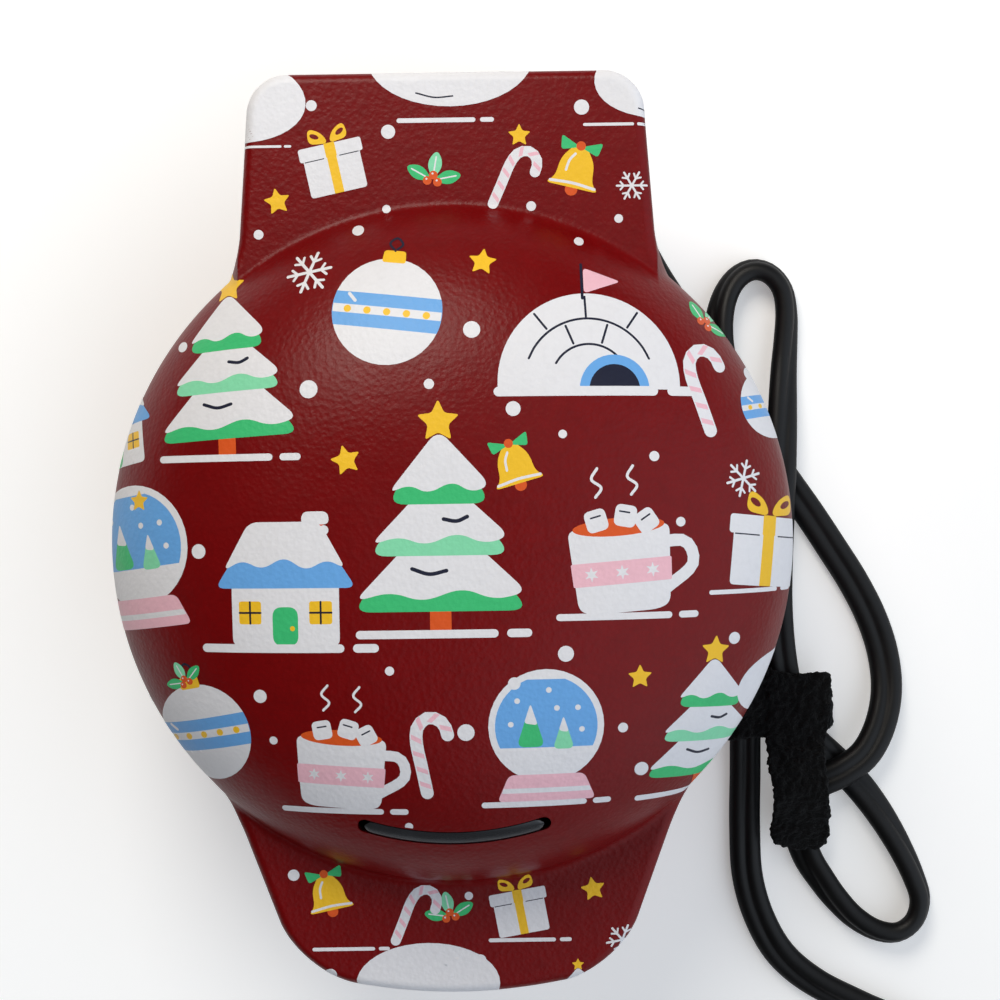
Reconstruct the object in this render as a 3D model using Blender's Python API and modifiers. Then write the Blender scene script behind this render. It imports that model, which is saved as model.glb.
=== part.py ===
"""Mini waffle maker: a domed clamshell with two cast waffle plates, a rear hinge and a supply cord.

Metres, +Z up, +Y towards the hinge. The pieces are placed about the dome's axis, under one empty that
centres the casing's length on the origin. The plate, its heater and its heat shield are modelled once,
with the cooking side up, and stand under an empty at the parting plane: upright for the base, and
turned over for the lid.
"""

import math

import bmesh
import bpy
import numpy as np
from mathutils import Matrix

# Casing, seen from above
CASING_RADIUS = 0.0652
HINGE_REACH = 0.0861
HINGE_ROOT_Y = 0.0522
HINGE_ROOT_HALF_WIDTH = 0.0385
HINGE_TAPER = 0.0024
HINGE_CORNER = 0.0070
HINGE_FLARE = 0.0045
HANDLE_REACH = 0.0866
HANDLE_ROOT_Y = 0.0478
HANDLE_ROOT_HALF_WIDTH = 0.0427
HANDLE_TAPER = 0.0137
HANDLE_CORNER = 0.010
HANDLE_BOW = 0.0045
HANDLE_FLARE = 0.0045
WALL = 0.0022

# Heights
PARTING_HEIGHT = 0.042
PARTING_GAP = 0.0006
LID_SIDE = 0.009
DOME_HEIGHT = 0.030
DOME_ROUND_SHARE = 3.0
DOME_SHOULDER_SHARE = 0.6
HINGE_TOP = 0.018
HANDLE_ROOT_TOP = 0.0092
HANDLE_TIP_TOP = 0.0046
HANDLE_SEAM = 0.004
HINGE_SEAM = 0.002
EDGE_ROUND = 0.002
SKIRT_SLOPE_SHARE = 3.0

# Base
BASE_UNDERSIDE = 0.005
BOWL_DRAW_IN = 0.0162
BOWL_POWER_SHARE = 2.4
BOWL_HEEL = 0.002
PILLAR_INSET = 0.0165
PILLAR_LEAN = 0.0134
PILLAR_LEAN_SHARE = 1.5
PILLAR_HALF_WIDTH = 0.029
PILLAR_SPREAD_SHARE = 0.7
LIP_INSET = 0.002
LIP_THICKNESS = 0.009
LIP_DROP = 0.0046
LIP_DROP_START = 0.0002
LIP_DROP_RUN = 0.008
LIP_CURVE_SHARE = 0.45

# Clearances
SEAT_GAP = 0.0003
RUNNING_GAP = 0.0003
PLATE_GAP = 0.0006
OVERRUN = 0.004

# Hinge
HINGE_AXIS_INSET = 0.012
HINGE_AXIS_DROP = 0.006
ROLL_CLEARANCE = 0.0004
ROD_RADIUS = 0.002
ROD_HEAD = 0.0005
LUG_SPREAD = 0.0225
LUG_WIDTH = 0.006
LUG_RADIUS = 0.0046
LUG_SIDE_GAP = 0.0006
RIB_WIDTH = 0.0022
RIB_DEPTH = 0.0075
RIB_RADIUS = 0.0031
SLOT_GAP = 0.0006
SLOT_DEPTH = 0.0061

# Decks
DECK_THICKNESS = 0.003
DECK_SINK = 0.0003
PILOT_DEPTH = 0.0026

# Cooking plates
PLATE_INSET = 0.0118
PLATE_RIM = 0.003
PLATE_RIM_DRAFT = 0.0015
PLATE_SINK = 0.0005
PLATE_DEPTH = 0.0076
PLATE_FLOOR = 0.0024
STUD_PITCH = 0.0156
STUD_BASE = 0.0118
STUD_TIP = 0.0086
STUD_HEIGHT = 0.0044
STUD_FIELD_INSET = 0.0068
STUD_LIMIT_INSET = 0.0071
STUDS_ACROSS = 6
EAR_RADIUS = 0.0038
EAR_THICKNESS = 0.0025
EAR_REACH = 0.004
EAR_TURN_SHARES = (3 / 12, 7 / 12, 11 / 12)

# Heaters and heat shields
ELEMENT_INSET = 0.0154
ELEMENT_RADIUS = 0.003
ELEMENT_GAP_ANGLE = 12
ELEMENT_DROP = 0.0105
SHIELD_INSET = 0.0059
SHIELD_GAUGE = 0.0007
SHIELD_HEIGHT = 0.0088
SHIELD_CORNER = 0.003
SHIELD_HOLE = 0.0045

# Control pieces
THERMOSTAT_RADIUS = 0.008
THERMOSTAT_HEIGHT = 0.0055
THERMOSTAT_FLANGE = 0.0012
THERMOSTAT_TAB = 0.004
FUSE_RADIUS = 0.002
FUSE_LENGTH = 0.014
LAMP_RADIUS = 0.002
LAMP_LENGTH = 0.014
HOLDER_LENGTH = 0.010
HOLDER_WIDTH = 0.0052
HOLDER_HEIGHT = 0.008
LAMP_INSET = 0.0075
WINDOW_INSET = 0.0107
WINDOW_WIDTH = 0.0026
WINDOW_CHORD = 0.032
WINDOW_SINK = 0.0004
WINDOW_DEPTH = 0.0046
TERMINAL_LENGTH = 0.026
TERMINAL_WIDTH_SHARE = 0.42
TERMINAL_HEIGHT = 0.009
TERMINAL_ROUND = 0.001
TERMINAL_GROOVE = 0.0015
LEAD_RADIUS = 0.0009
LEAD_SPREAD = 0.008
SUPPLY_SPREAD = 0.002

# Screws
SCREW_RADIUS = 0.0012
SCREW_HEAD_RADIUS = 0.0026
SCREW_HEAD_HEIGHT = 0.0014
SCREW_LENGTH = 0.008
PLATE_SCREW_LENGTH = 0.005
SCREW_DIMPLE = 0.0005
POST_RADIUS = 0.003
POST_INSET = 0.0080
LID_POST_SIDE = 0.0115
LID_POST_INSET = 0.0215
FRONT_POST_ANGLE = 35
REAR_POST_ANGLE = 43
WELL_RADIUS = 0.0044
WELL_SHELF = 0.0022
POST_REACH = 0.0081

# Feet
FOOT_RADIUS = 0.0065
FOOT_STEM_RADIUS = 0.0022
FOOT_BARB_RADIUS = 0.0032
FOOT_BARB_HEIGHT = 0.0022
FOOT_ROUND = 0.001
FOOT_INSET = 0.0051
FRONT_FOOT_ANGLE = 43
REAR_FOOT_SIDE = 0.008
REAR_FOOT_INSET = 0.0095

# Vents in the base's floor
VENT_LENGTH = 0.014
VENT_WIDTH = 0.0024
VENT_CIRCLE = 0.023
VENT_COUNT = 6

# Cord, its strain relief, its tie and its plug
CORD_DIAMETER = 0.005
CORD_POINT_STEP = 0.007
CORD_EXIT_HEIGHT = 0.0135
CORD_START_RUN = 0.0015
RELIEF_RADIUS = 0.0042
RELIEF_END_RADIUS = 0.0034
RELIEF_COLLAR_RADIUS = 0.0052
RELIEF_COLLAR = 0.0016
RELIEF_INSET = 0.0038
RELIEF_LENGTH = 0.0203
RELIEF_NECK = 0.005
RELIEF_GROOVE = 0.0005
RELIEF_GROOVES = 4
TIE_LEFT = 0.0570
TIE_RIGHT = 0.0800
TIE_TOP_Y = -0.0248
TIE_BOTTOM_Y = -0.0413
TIE_THICKNESS = 0.0013
TIE_HEIGHT = 0.0088
TIE_ROUND = 0.0035
TAIL_STEPS = (0.0035, 0.0080, 0.0130, 0.0180, 0.0250)
TAIL_RISES = (0.0012, 0.0028, 0.0026, 0.0002, -0.0022)
TAIL_SINK = 0.0003
TAIL_LEFT = 0.0665
PLUG_X = 0.0787
PLUG_Y = -0.1458
PLUG_HEIGHT = 0.00635
PLUG_LENGTH = 0.032
PLUG_SECTION_PLACES = (0, 0.006, 0.010, 0.014, 0.022, 0.030)
PLUG_SECTION_WIDTHS = (0.0064, 0.0082, 0.0150, 0.0215, 0.0238, 0.0240)
PLUG_SECTION_HEIGHTS = (0.0060, 0.0070, 0.0088, 0.0112, 0.0124, 0.0124)
PLUG_ROUND_SHARE = 0.9
PLUG_FACE_WIDTH = 0.0222
PLUG_FACE_HEIGHT = 0.0108
BLADE_SPACING = 0.0127
BLADE_LENGTH = 0.0165
BLADE_WIDTH = 0.0063
BLADE_THICKNESS = 0.0015
BLADE_HOLE_RADIUS = 0.0015
BLADE_HOLE_INSET = 0.004
BLADE_TIP_ROUND = 0.0007

# Smoothness
RING_POINTS = 64
ROUND_STEPS = 24
SMALL_STEPS = 12
SCREW_STEPS = 8
WIDE_STEPS = 40
FINE_POINTS = 1440
TURN_PER_POINT = math.radians(16)
LOOP_STEP = 0.009
SEARCH_REACH = 0.150
SEARCH_ROUNDS = 40
MERGE_DISTANCE = 0.00005
DOME_RING_SHARES = (0.26, 0.50, 0.68, 0.81, 0.90, 0.95)
SKIRT_RING_SHARES = (0.20, 0.45, 0.68, 0.85, 0.95, 0.99, 1.0)
INNER_DOME_SHARES = (0.40, 0.70, 0.90)
INNER_SKIRT_SHARES = (0.30, 0.65, 0.90, 1.0)
BASE_SIDE_SHARES = (0.10, 0.24, 0.40, 0.58, 0.755, 0.80, 0.87, 0.95, 1.0)
BASE_INNER_SHARES = (0.0, 0.12, 0.32, 0.58, 0.84, 0.90, 0.94, 1.0)

# Worked out from the sizes above
LENGTH_CENTRE_Y = (HANDLE_REACH - HINGE_REACH) / 2
BOWL_FLOOR_RADIUS = CASING_RADIUS - BOWL_DRAW_IN
PILLAR_REACH = HINGE_REACH - PILLAR_INSET
LIP_REACH = HANDLE_REACH - LIP_INSET
DROP_START = CASING_RADIUS + LIP_DROP_START
PLATE_RADIUS = CASING_RADIUS - PLATE_INSET
STUD_FIELD = PLATE_RADIUS - STUD_FIELD_INSET
STUD_LIMIT = PLATE_RADIUS - STUD_LIMIT_INSET
EAR_CIRCLE = PLATE_RADIUS + EAR_REACH
ELEMENT_CIRCLE = PLATE_RADIUS - ELEMENT_INSET
SHIELD_RADIUS = PLATE_RADIUS - SHIELD_INSET
LAMP_CIRCLE = CASING_RADIUS - LAMP_INSET
WINDOW_CIRCLE = CASING_RADIUS - WINDOW_INSET
POST_CIRCLE = CASING_RADIUS - POST_INSET
RELIEF_START_Y = PILLAR_REACH - RELIEF_INSET
ELEMENT_END_Y = ELEMENT_CIRCLE * math.cos(math.radians(ELEMENT_GAP_ANGLE))
TERMINAL_Y = (ELEMENT_END_Y + RELIEF_START_Y) / 2
TERMINAL_WIDTH = TERMINAL_WIDTH_SHARE * (RELIEF_START_Y - ELEMENT_END_Y)
RELIEF_END_Y = RELIEF_START_Y + RELIEF_LENGTH
LID_RIM = PARTING_HEIGHT + PARTING_GAP / 2
BASE_RIM = PARTING_HEIGHT - PARTING_GAP / 2
BASE_FLOOR = BASE_UNDERSIDE + WALL
HINGE_AXIS_Y = HINGE_REACH - HINGE_AXIS_INSET
HINGE_AXIS_HEIGHT = PARTING_HEIGHT - HINGE_AXIS_DROP
ROLL_RADIUS = HINGE_AXIS_DROP + PARTING_GAP / 2 - ROLL_CLEARANCE
DECK_OPENING = PLATE_RADIUS + PLATE_GAP
LID_DECK_UNDERSIDE = LID_RIM + DECK_SINK
LID_DECK_TOP = LID_DECK_UNDERSIDE + DECK_THICKNESS
BASE_DECK_TOP = BASE_RIM - DECK_SINK
BASE_DECK_UNDERSIDE = BASE_DECK_TOP - DECK_THICKNESS
SCREW_HOLE = SCREW_RADIUS + RUNNING_GAP
HEAD_HOLE = SCREW_HEAD_RADIUS + RUNNING_GAP
PLATE_BACK = PLATE_DEPTH + PLATE_FLOOR
DECK_BACK = PARTING_HEIGHT - BASE_DECK_UNDERSIDE
RED = (0.180, 0.006, 0.010)
BLACK = (0.012, 0.012, 0.013)


# The collections

def emptied_collection(name):
    collection = bpy.data.collections.get(name) or bpy.data.collections.new(name)
    if collection.name not in bpy.context.scene.collection.children:
        bpy.context.scene.collection.children.link(collection)
    return collection


for leftover in list(bpy.data.objects):
    bpy.data.objects.remove(leftover, do_unlink=True)
PARTS = emptied_collection("Mini waffle maker")
CUTTERS = emptied_collection("Cutters")


# Finishes and placing

def finish(name, colour, roughness, metallic=0.0):
    material = bpy.data.materials.new(name)
    material.use_nodes = True
    shader = material.node_tree.nodes["Principled BSDF"]
    shader.inputs["Base Color"].default_value = (*colour, 1.0)
    shader.inputs["Roughness"].default_value = roughness
    shader.inputs["Metallic"].default_value = metallic
    return material


def frame_empty(name, location, rotation=(0, 0, 0), parent=None):
    empty = bpy.data.objects.new(name, None)
    empty.location = location
    empty.rotation_euler = rotation
    empty.parent = parent
    PARTS.objects.link(empty)
    return empty


def place(obj, parent, material=None, location=(0, 0, 0), rotation=(0, 0, 0)):
    """A piece of the object: in its collection, under its empty, with its own finish."""
    obj.location = location
    obj.rotation_euler = rotation
    obj.parent = parent
    PARTS.objects.link(obj)
    if material:
        obj.data.materials.append(material)
    return obj


def as_tool(obj, parent, location=(0, 0, 0), rotation=(0, 0, 0)):
    """A cutter, or a shape that is joined to another."""
    obj.location = location
    obj.rotation_euler = rotation
    obj.parent = parent
    obj.hide_render = True
    obj.display_type = "WIRE"
    CUTTERS.objects.link(obj)
    return obj


def combine(target, tool, operation="DIFFERENCE"):
    change = target.modifiers.new(tool.name, "BOOLEAN")
    change.operation = operation
    change.solver = "EXACT"
    change.object = tool


# Shapes

def mesh_object(name, bm, smooth_angle=None):
    mesh = bpy.data.meshes.new(name)
    bmesh.ops.recalc_face_normals(bm, faces=bm.faces)
    bm.to_mesh(mesh)
    bm.free()
    if smooth_angle is not None:
        mesh.shade_smooth()
        mesh.set_sharp_from_angle(angle=smooth_angle)
    return bpy.data.objects.new(name, mesh)


def box(name, size, edge=0.0):
    """A block about its own middle, with an optional rounded edge."""
    bm = bmesh.new()
    bmesh.ops.create_cube(bm, size=1.0)
    bmesh.ops.scale(bm, vec=size, verts=bm.verts)
    obj = mesh_object(name, bm)
    if edge:
        bevel = obj.modifiers.new("Rounded edges", "BEVEL")
        bevel.width = edge
        bevel.segments = 2
    return obj


def cylinder(name, radius, length, steps=ROUND_STEPS):
    bm = bmesh.new()
    bmesh.ops.create_cone(bm, cap_ends=True, segments=steps, radius1=radius, radius2=radius, depth=length)
    return mesh_object(name, bm, math.radians(40))


def turned(name, profile, steps=ROUND_STEPS, closed=False):
    """A profile of (radius, height) pairs, outer side from top to bottom, turned about the Z axis."""
    mesh = bpy.data.meshes.new(name)
    count = len(profile)
    edges = [(i, (i + 1) % count) for i in range(count if closed else count - 1)]
    mesh.from_pydata([(radius, 0, height) for radius, height in profile], edges, [])
    obj = bpy.data.objects.new(name, mesh)
    screw = obj.modifiers.new("Turned", "SCREW")
    screw.steps = steps
    screw.render_steps = steps
    screw.use_merge_vertices = True
    screw.merge_threshold = MERGE_DISTANCE
    screw.use_smooth_shade = True
    return obj


def tube(name, points, radius, resolution=2):
    curve = bpy.data.curves.new(name, "CURVE")
    curve.dimensions = "3D"
    curve.bevel_depth = radius
    curve.bevel_resolution = resolution
    curve.use_fill_caps = True
    spline = curve.splines.new("POLY")
    spline.points.add(len(points) - 1)
    for point, place_of in zip(spline.points, points):
        point.co = (*place_of, 1.0)
        point.radius = 1.0
    spline.use_smooth = True
    return bpy.data.objects.new(name, curve)


def flat_plate(name, outlines, thickness):
    """A flat piece from closed outlines of (x, y) pairs, the later ones its openings, about its mid height."""
    curve = bpy.data.curves.new(name, "CURVE")
    curve.dimensions = "2D"
    curve.fill_mode = "BOTH"
    curve.extrude = thickness / 2
    for outline in outlines:
        spline = curve.splines.new("POLY")
        spline.points.add(len(outline) - 1)
        for point, (x, y) in zip(spline.points, outline):
            point.co = (x, y, 0, 1)
        spline.use_cyclic_u = True
    source = bpy.data.objects.new(name + " outline", curve)
    CUTTERS.objects.link(source)
    evaluated = source.evaluated_get(bpy.context.evaluated_depsgraph_get())
    mesh = bpy.data.meshes.new_from_object(evaluated)
    bpy.data.objects.remove(source, do_unlink=True)
    bm = bmesh.new()
    bm.from_mesh(mesh)
    bmesh.ops.remove_doubles(bm, verts=bm.verts, dist=MERGE_DISTANCE)
    return mesh_object(name, bm)


def arc(radius, start, end, steps, centre_x=0.0):
    """Points along an arc about (centre_x, 0), both ends among them."""
    angles = [start + (end - start) * i / steps for i in range(steps + 1)]
    return [(centre_x + radius * math.cos(angle), radius * math.sin(angle)) for angle in angles]


def circle(radius, steps=ROUND_STEPS):
    return arc(radius, 0, math.tau, steps)[:-1]


def skinned(name, rings, first_tip, last_tip):
    """A solid over rings of equally many points, closed at each end by a fan to its tip."""
    bm = bmesh.new()
    loops = [[bm.verts.new(point) for point in ring] for ring in rings]
    count = len(rings[0])
    for upper, lower in zip(loops, loops[1:]):
        for i in range(count):
            j = (i + 1) % count
            bm.faces.new((upper[i], upper[j], lower[j], lower[i]))
    for loop, tip_place in ((loops[0], first_tip), (loops[-1], last_tip)):
        tip = bm.verts.new(tip_place)
        for i in range(count):
            bm.faces.new((loop[i], loop[(i + 1) % count], tip))
    return mesh_object(name, bm, math.radians(35))


# The casing's plan: a disc, a hinge block behind it and a handle in front, run together in soft flares

def smooth_min(first, second, blend):
    overlap = np.maximum(blend - np.abs(first - second), 0) / blend
    return np.minimum(first, second) - overlap * overlap * blend / 4


def smooth_max(first, second, blend):
    return -smooth_min(-first, -second, blend)


def tapered_block(x, y, root_y, reach, root_half, taper, corner, bow=0.0):
    """Distance to a block that runs out along +y and is drawn in towards its rounded end."""
    share = np.clip((y - root_y) / (reach - root_y), 0, 1)
    half = root_half - taper * share
    across = np.abs(x) - half + corner
    along = y - reach + bow * (x / half) ** 2 + corner
    outside = np.hypot(np.maximum(across, 0), np.maximum(along, 0))
    return np.maximum(outside + np.minimum(np.maximum(across, along), 0) - corner, -y)


def hinge_block(x, y, reach=HINGE_REACH, half=HINGE_ROOT_HALF_WIDTH):
    return tapered_block(x, y, HINGE_ROOT_Y, reach, half, HINGE_TAPER, HINGE_CORNER)


def handle_block(x, y, reach=HANDLE_REACH):
    return tapered_block(
        x, -y, HANDLE_ROOT_Y, reach, HANDLE_ROOT_HALF_WIDTH, HANDLE_TAPER, HANDLE_CORNER, HANDLE_BOW
    )


def body_plan(x, y, radius=CASING_RADIUS, reach=HINGE_REACH, half=HINGE_ROOT_HALF_WIDTH):
    """The disc and the hinge block: what is hollow inside."""
    return smooth_min(np.hypot(x, y) - radius, hinge_block(x, y, reach, half), HINGE_FLARE)


def lid_plan(x, y):
    return smooth_min(body_plan(x, y), handle_block(x, y), HANDLE_FLARE)


def crossings(plan, angles, inset=0.0):
    """Where rays from the dome's axis cross the plan's outline, moved in by inset."""
    near = np.zeros(len(angles))
    far = np.full(len(angles), SEARCH_REACH)
    for _ in range(SEARCH_ROUNDS):
        middle = (near + far) / 2
        inside = plan(middle * np.cos(angles), middle * np.sin(angles)) < -inset
        near = np.where(inside, middle, near)
        far = np.where(inside, far, middle)
    return far


def ring_angles():
    """Angles for every ring: a point for each step along the lid's outline, and more where it turns."""
    angles = np.linspace(0, math.tau, FINE_POINTS, endpoint=False) - math.pi / 2
    reach = crossings(lid_plan, angles)
    x, y = reach * np.cos(angles), reach * np.sin(angles)
    run_x, run_y = np.roll(x, -1) - x, np.roll(y, -1) - y
    heading = np.arctan2(run_y, run_x)
    turn = np.abs((heading - np.roll(heading, 1) + math.pi) % math.tau - math.pi)
    weight = np.hypot(run_x, run_y) / LOOP_STEP + turn / TURN_PER_POINT
    total = np.concatenate([[0], np.cumsum(weight)])
    wanted = np.arange(RING_POINTS) * total[-1] / RING_POINTS
    return np.interp(wanted, total, np.append(angles, angles[0] + math.tau))


ANGLES = ring_angles()
ALONG_X, ALONG_Y = np.cos(ANGLES), np.sin(ANGLES)


def ring(reach, height):
    heights = np.broadcast_to(height, ANGLES.shape)
    return [(float(r * c), float(r * s), float(z)) for r, c, s, z in zip(reach, ALONG_X, ALONG_Y, heights)]


def plan_outline(reach):
    return [(float(r * c), float(r * s)) for r, c, s in zip(reach, ALONG_X, ALONG_Y)]


# The lid's form

def lid_height(x, y, plan, inset=0.0):
    """Height of the lid's top: the dome, the flat hinge block and the sloping handle, run together."""
    radius = CASING_RADIUS - inset
    share = np.clip(np.hypot(x, y) / radius, 0, 1)
    dome = LID_SIDE + (DOME_HEIGHT - inset) * (1 - share**DOME_ROUND_SHARE) ** DOME_SHOULDER_SHARE
    beyond = np.maximum(np.hypot(x, y) - radius, 0)
    dome = dome - SKIRT_SLOPE_SHARE * beyond
    block = HINGE_TOP - inset - SKIRT_SLOPE_SHARE * np.maximum(hinge_block(x, y) + inset, 0)
    along = np.clip((-y - HANDLE_ROOT_Y) / (HANDLE_REACH - HANDLE_ROOT_Y), 0, 1)
    handle = HANDLE_ROOT_TOP + (HANDLE_TIP_TOP - HANDLE_ROOT_TOP) * along
    handle = handle - SKIRT_SLOPE_SHARE * np.maximum(handle_block(x, y), 0)
    height = smooth_max(dome, block, HINGE_SEAM)
    if plan is lid_plan:
        height = smooth_max(height, handle, HANDLE_SEAM)
    depth = np.clip(-plan(x, y) - inset, 0, EDGE_ROUND)
    rounding = EDGE_ROUND - np.sqrt(EDGE_ROUND**2 - (EDGE_ROUND - depth) ** 2)
    return LID_RIM + height - rounding


def lid_rings(plan, inset, dome_shares, skirt_shares):
    """Rings of the lid's top from its middle outwards, the last one on its outline."""
    outline = crossings(plan, ANGLES, inset)
    inner = dome_shares[-1] * (CASING_RADIUS - inset)
    reaches = [np.full(RING_POINTS, share * (CASING_RADIUS - inset)) for share in dome_shares]
    reaches += [inner + share * (outline - inner) for share in skirt_shares]
    return [ring(r, lid_height(r * ALONG_X, r * ALONG_Y, plan, inset)) for r in reaches], outline


def apex(inset):
    return (0, 0, LID_RIM + LID_SIDE + DOME_HEIGHT - inset)


def lid_form(name, inset):
    """The lid's outer form, moved in by inset, as a solid: it clips what must follow the lid's skin."""
    rings, outline = lid_rings(lid_plan, inset, INNER_DOME_SHARES, INNER_SKIRT_SHARES)
    rings.append(ring(outline, LID_RIM))
    return skinned(name, rings, apex(inset), (0, 0, LID_RIM))


# The base's form

def base_share(height):
    return (height - BASE_UNDERSIDE) / (BASE_RIM - BASE_UNDERSIDE)


def base_reach(height, inset=0.0, lip=False):
    """How far the base reaches at a height: its bowl, its rear pillar with the hinge roll, and its lip."""
    share = base_share(height)
    radius = BOWL_FLOOR_RADIUS + (CASING_RADIUS - BOWL_FLOOR_RADIUS) * (1 - (1 - share) ** BOWL_POWER_SHARE)
    reach = PILLAR_REACH + PILLAR_LEAN * share**PILLAR_LEAN_SHARE
    reach = min(reach, HINGE_AXIS_Y + ROLL_RADIUS)
    above_axis = max(height - HINGE_AXIS_HEIGHT, 0)
    reach = min(reach, HINGE_AXIS_Y + math.sqrt(ROLL_RADIUS**2 - above_axis**2))
    half = PILLAR_HALF_WIDTH + (HINGE_ROOT_HALF_WIDTH - PILLAR_HALF_WIDTH) * share**PILLAR_SPREAD_SHARE
    lip_share = lip_weight(height)
    lip_reach = HANDLE_ROOT_Y + (LIP_REACH - HANDLE_ROOT_Y) * lip_share**LIP_CURVE_SHARE

    def plan(x, y):
        field = body_plan(x, y, radius, reach, half)
        if lip and lip_share > 0:
            field = smooth_min(field, handle_block(x, y, lip_reach), HANDLE_FLARE)
        return field

    return crossings(plan, ANGLES, inset)


def lip_weight(height):
    return min(max((height - BASE_RIM + LIP_THICKNESS) / LIP_THICKNESS, 0), 1)


def dropped(reach, height):
    """Heights along a ring, which fall towards the lip's tip so that fingers get under the lid's handle."""
    run = np.clip((-reach * ALONG_Y - DROP_START) / LIP_DROP_RUN, 0, 1)
    return height - LIP_DROP * lip_weight(height) * run * run * (3 - 2 * run)


def base_rings(inset, shares, lip=False):
    """Rings of the base's side from low to high."""
    rings = []
    for share in shares:
        height = BASE_UNDERSIDE + inset + share * (BASE_RIM - BASE_UNDERSIDE - inset)
        reach = base_reach(height, inset, lip)
        rings.append(ring(reach, dropped(reach, height)))
    return rings


def heel_rings():
    """The rounded edge between the base's underside and its side."""
    rings = []
    for turn in (0, 30, 60):
        height = BASE_UNDERSIDE + BOWL_HEEL * (1 - math.cos(math.radians(turn)))
        rings.append(ring(base_reach(height, BOWL_HEEL * (1 - math.sin(math.radians(turn)))), height))
    return rings


def base_form(name, inset):
    """The base's outer form without its lip, moved in by inset, as a solid."""
    rings = base_rings(inset, BASE_INNER_SHARES)
    return skinned(name, rings, (0, 0, BASE_UNDERSIDE + inset), (0, 0, BASE_RIM))


# Posts, wells and screws

def polar(radius, degrees):
    return radius * math.cos(math.radians(degrees)), radius * math.sin(math.radians(degrees))


def both_sides(x, y):
    return [(-x, y), (x, y)]


FRONT_POSTS = [polar(POST_CIRCLE, -90 - FRONT_POST_ANGLE), polar(POST_CIRCLE, -90 + FRONT_POST_ANGLE)]
REAR_POSTS = [polar(POST_CIRCLE, 90 + REAR_POST_ANGLE), polar(POST_CIRCLE, 90 - REAR_POST_ANGLE)]
LID_SCREW_PLACES = both_sides(HINGE_ROOT_HALF_WIDTH - LID_POST_SIDE, HINGE_REACH - LID_POST_INSET) + FRONT_POSTS
BASE_SCREW_PLACES = REAR_POSTS + FRONT_POSTS
FOOT_CIRCLE = BOWL_FLOOR_RADIUS - FOOT_INSET
FOOT_PLACES = [polar(FOOT_CIRCLE, -90 - FRONT_FOOT_ANGLE), polar(FOOT_CIRCLE, -90 + FRONT_FOOT_ANGLE)]
FOOT_PLACES += both_sides(PILLAR_HALF_WIDTH - REAR_FOOT_SIDE, PILLAR_REACH - REAR_FOOT_INSET)
EAR_ANGLES = [share * 360 for share in EAR_TURN_SHARES]


def upright(name, radius, low, high, parent, x, y):
    """A round upright tool from one height to another."""
    return as_tool(cylinder(name, radius, high - low, SMALL_STEPS), parent, (x, y, (low + high) / 2))


def sideways(name, radius, length, parent, x, y, z):
    """A round tool that lies along X."""
    return as_tool(cylinder(name, radius, length), parent, (x, y, z), (0, math.pi / 2, 0))


def on_axis(name, outline, width, parent, x):
    """An upright plate across the hinge axis at x, from (y, z) pairs about that axis."""
    plate = flat_plate(name, [outline], width)
    return as_tool(plate, parent, (x, HINGE_AXIS_Y, HINGE_AXIS_HEIGHT), (math.pi / 2, 0, math.pi / 2))


def rod_hole(parent, x, length):
    return sideways("rod hole", ROD_RADIUS + RUNNING_GAP, length, parent, x, HINGE_AXIS_Y, HINGE_AXIS_HEIGHT)


def screw(name, length, parent, material, location):
    """A pan-head screw standing on its head, its seat at the location, with a dimple for the driver."""
    profile = (
        (0, length),
        (SCREW_RADIUS / 2, length),
        (SCREW_RADIUS, length - SCREW_RADIUS),
        (SCREW_RADIUS, 0),
        (SCREW_HEAD_RADIUS, 0),
        (SCREW_HEAD_RADIUS, SCREW_DIMPLE - SCREW_HEAD_HEIGHT),
        (SCREW_HEAD_RADIUS - SCREW_DIMPLE, -SCREW_HEAD_HEIGHT),
        (SCREW_RADIUS, -SCREW_HEAD_HEIGHT),
        (SCREW_RADIUS / 2, SCREW_DIMPLE - SCREW_HEAD_HEIGHT),
        (0, SCREW_DIMPLE - SCREW_HEAD_HEIGHT),
    )
    return place(turned(name, profile, SCREW_STEPS), parent, material, location)


# The lid's mouldings

def arc_bar(name, half_width):
    """An upright arc-shaped bar, concentric with the dome."""
    half_angle = math.asin((WINDOW_CHORD / 2) / WINDOW_CIRCLE)
    start, end = -math.pi / 2 - half_angle, -math.pi / 2 + half_angle
    outline = arc(WINDOW_CIRCLE + half_width, start, end, 12)
    outline += arc(WINDOW_CIRCLE - half_width, end, start, 12)
    return flat_plate(name, [outline], DOME_HEIGHT)


WINDOW_BAR_PLACE = (0, 0, LID_RIM + LID_SIDE + DOME_HEIGHT / 2)


def lid_housing(parent, red):
    """The domed moulding, hollow under the dome and the hinge block, with its handle solid."""
    outer, outline = lid_rings(lid_plan, 0, DOME_RING_SHARES, SKIRT_RING_SHARES)
    inner, opening = lid_rings(body_plan, WALL, INNER_DOME_SHARES, INNER_SKIRT_SHARES)
    rings = outer + [ring(outline, LID_RIM), ring(opening, LID_RIM)] + inner[::-1]
    housing = place(skinned("lid_housing", rings, apex(0), apex(WALL)), parent, red)
    clip = as_tool(lid_form("lid clip", WALL / 2), parent)
    post_foot = LID_DECK_TOP + SEAT_GAP
    for number, (x, y) in enumerate(LID_SCREW_PLACES, 1):
        post = upright(f"lid post {number}", POST_RADIUS, post_foot, apex(0)[2], parent, x, y)
        combine(post, clip, "INTERSECT")
        combine(housing, post, "UNION")
    for number, (x, y) in enumerate(LID_SCREW_PLACES, 1):
        top = post_foot + SCREW_LENGTH
        combine(housing, upright(f"lid pilot {number}", SCREW_HOLE, LID_RIM, top, parent, x, y))
    combine(housing, as_tool(arc_bar("window slot", WINDOW_WIDTH / 2), parent, WINDOW_BAR_PLACE))


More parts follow.
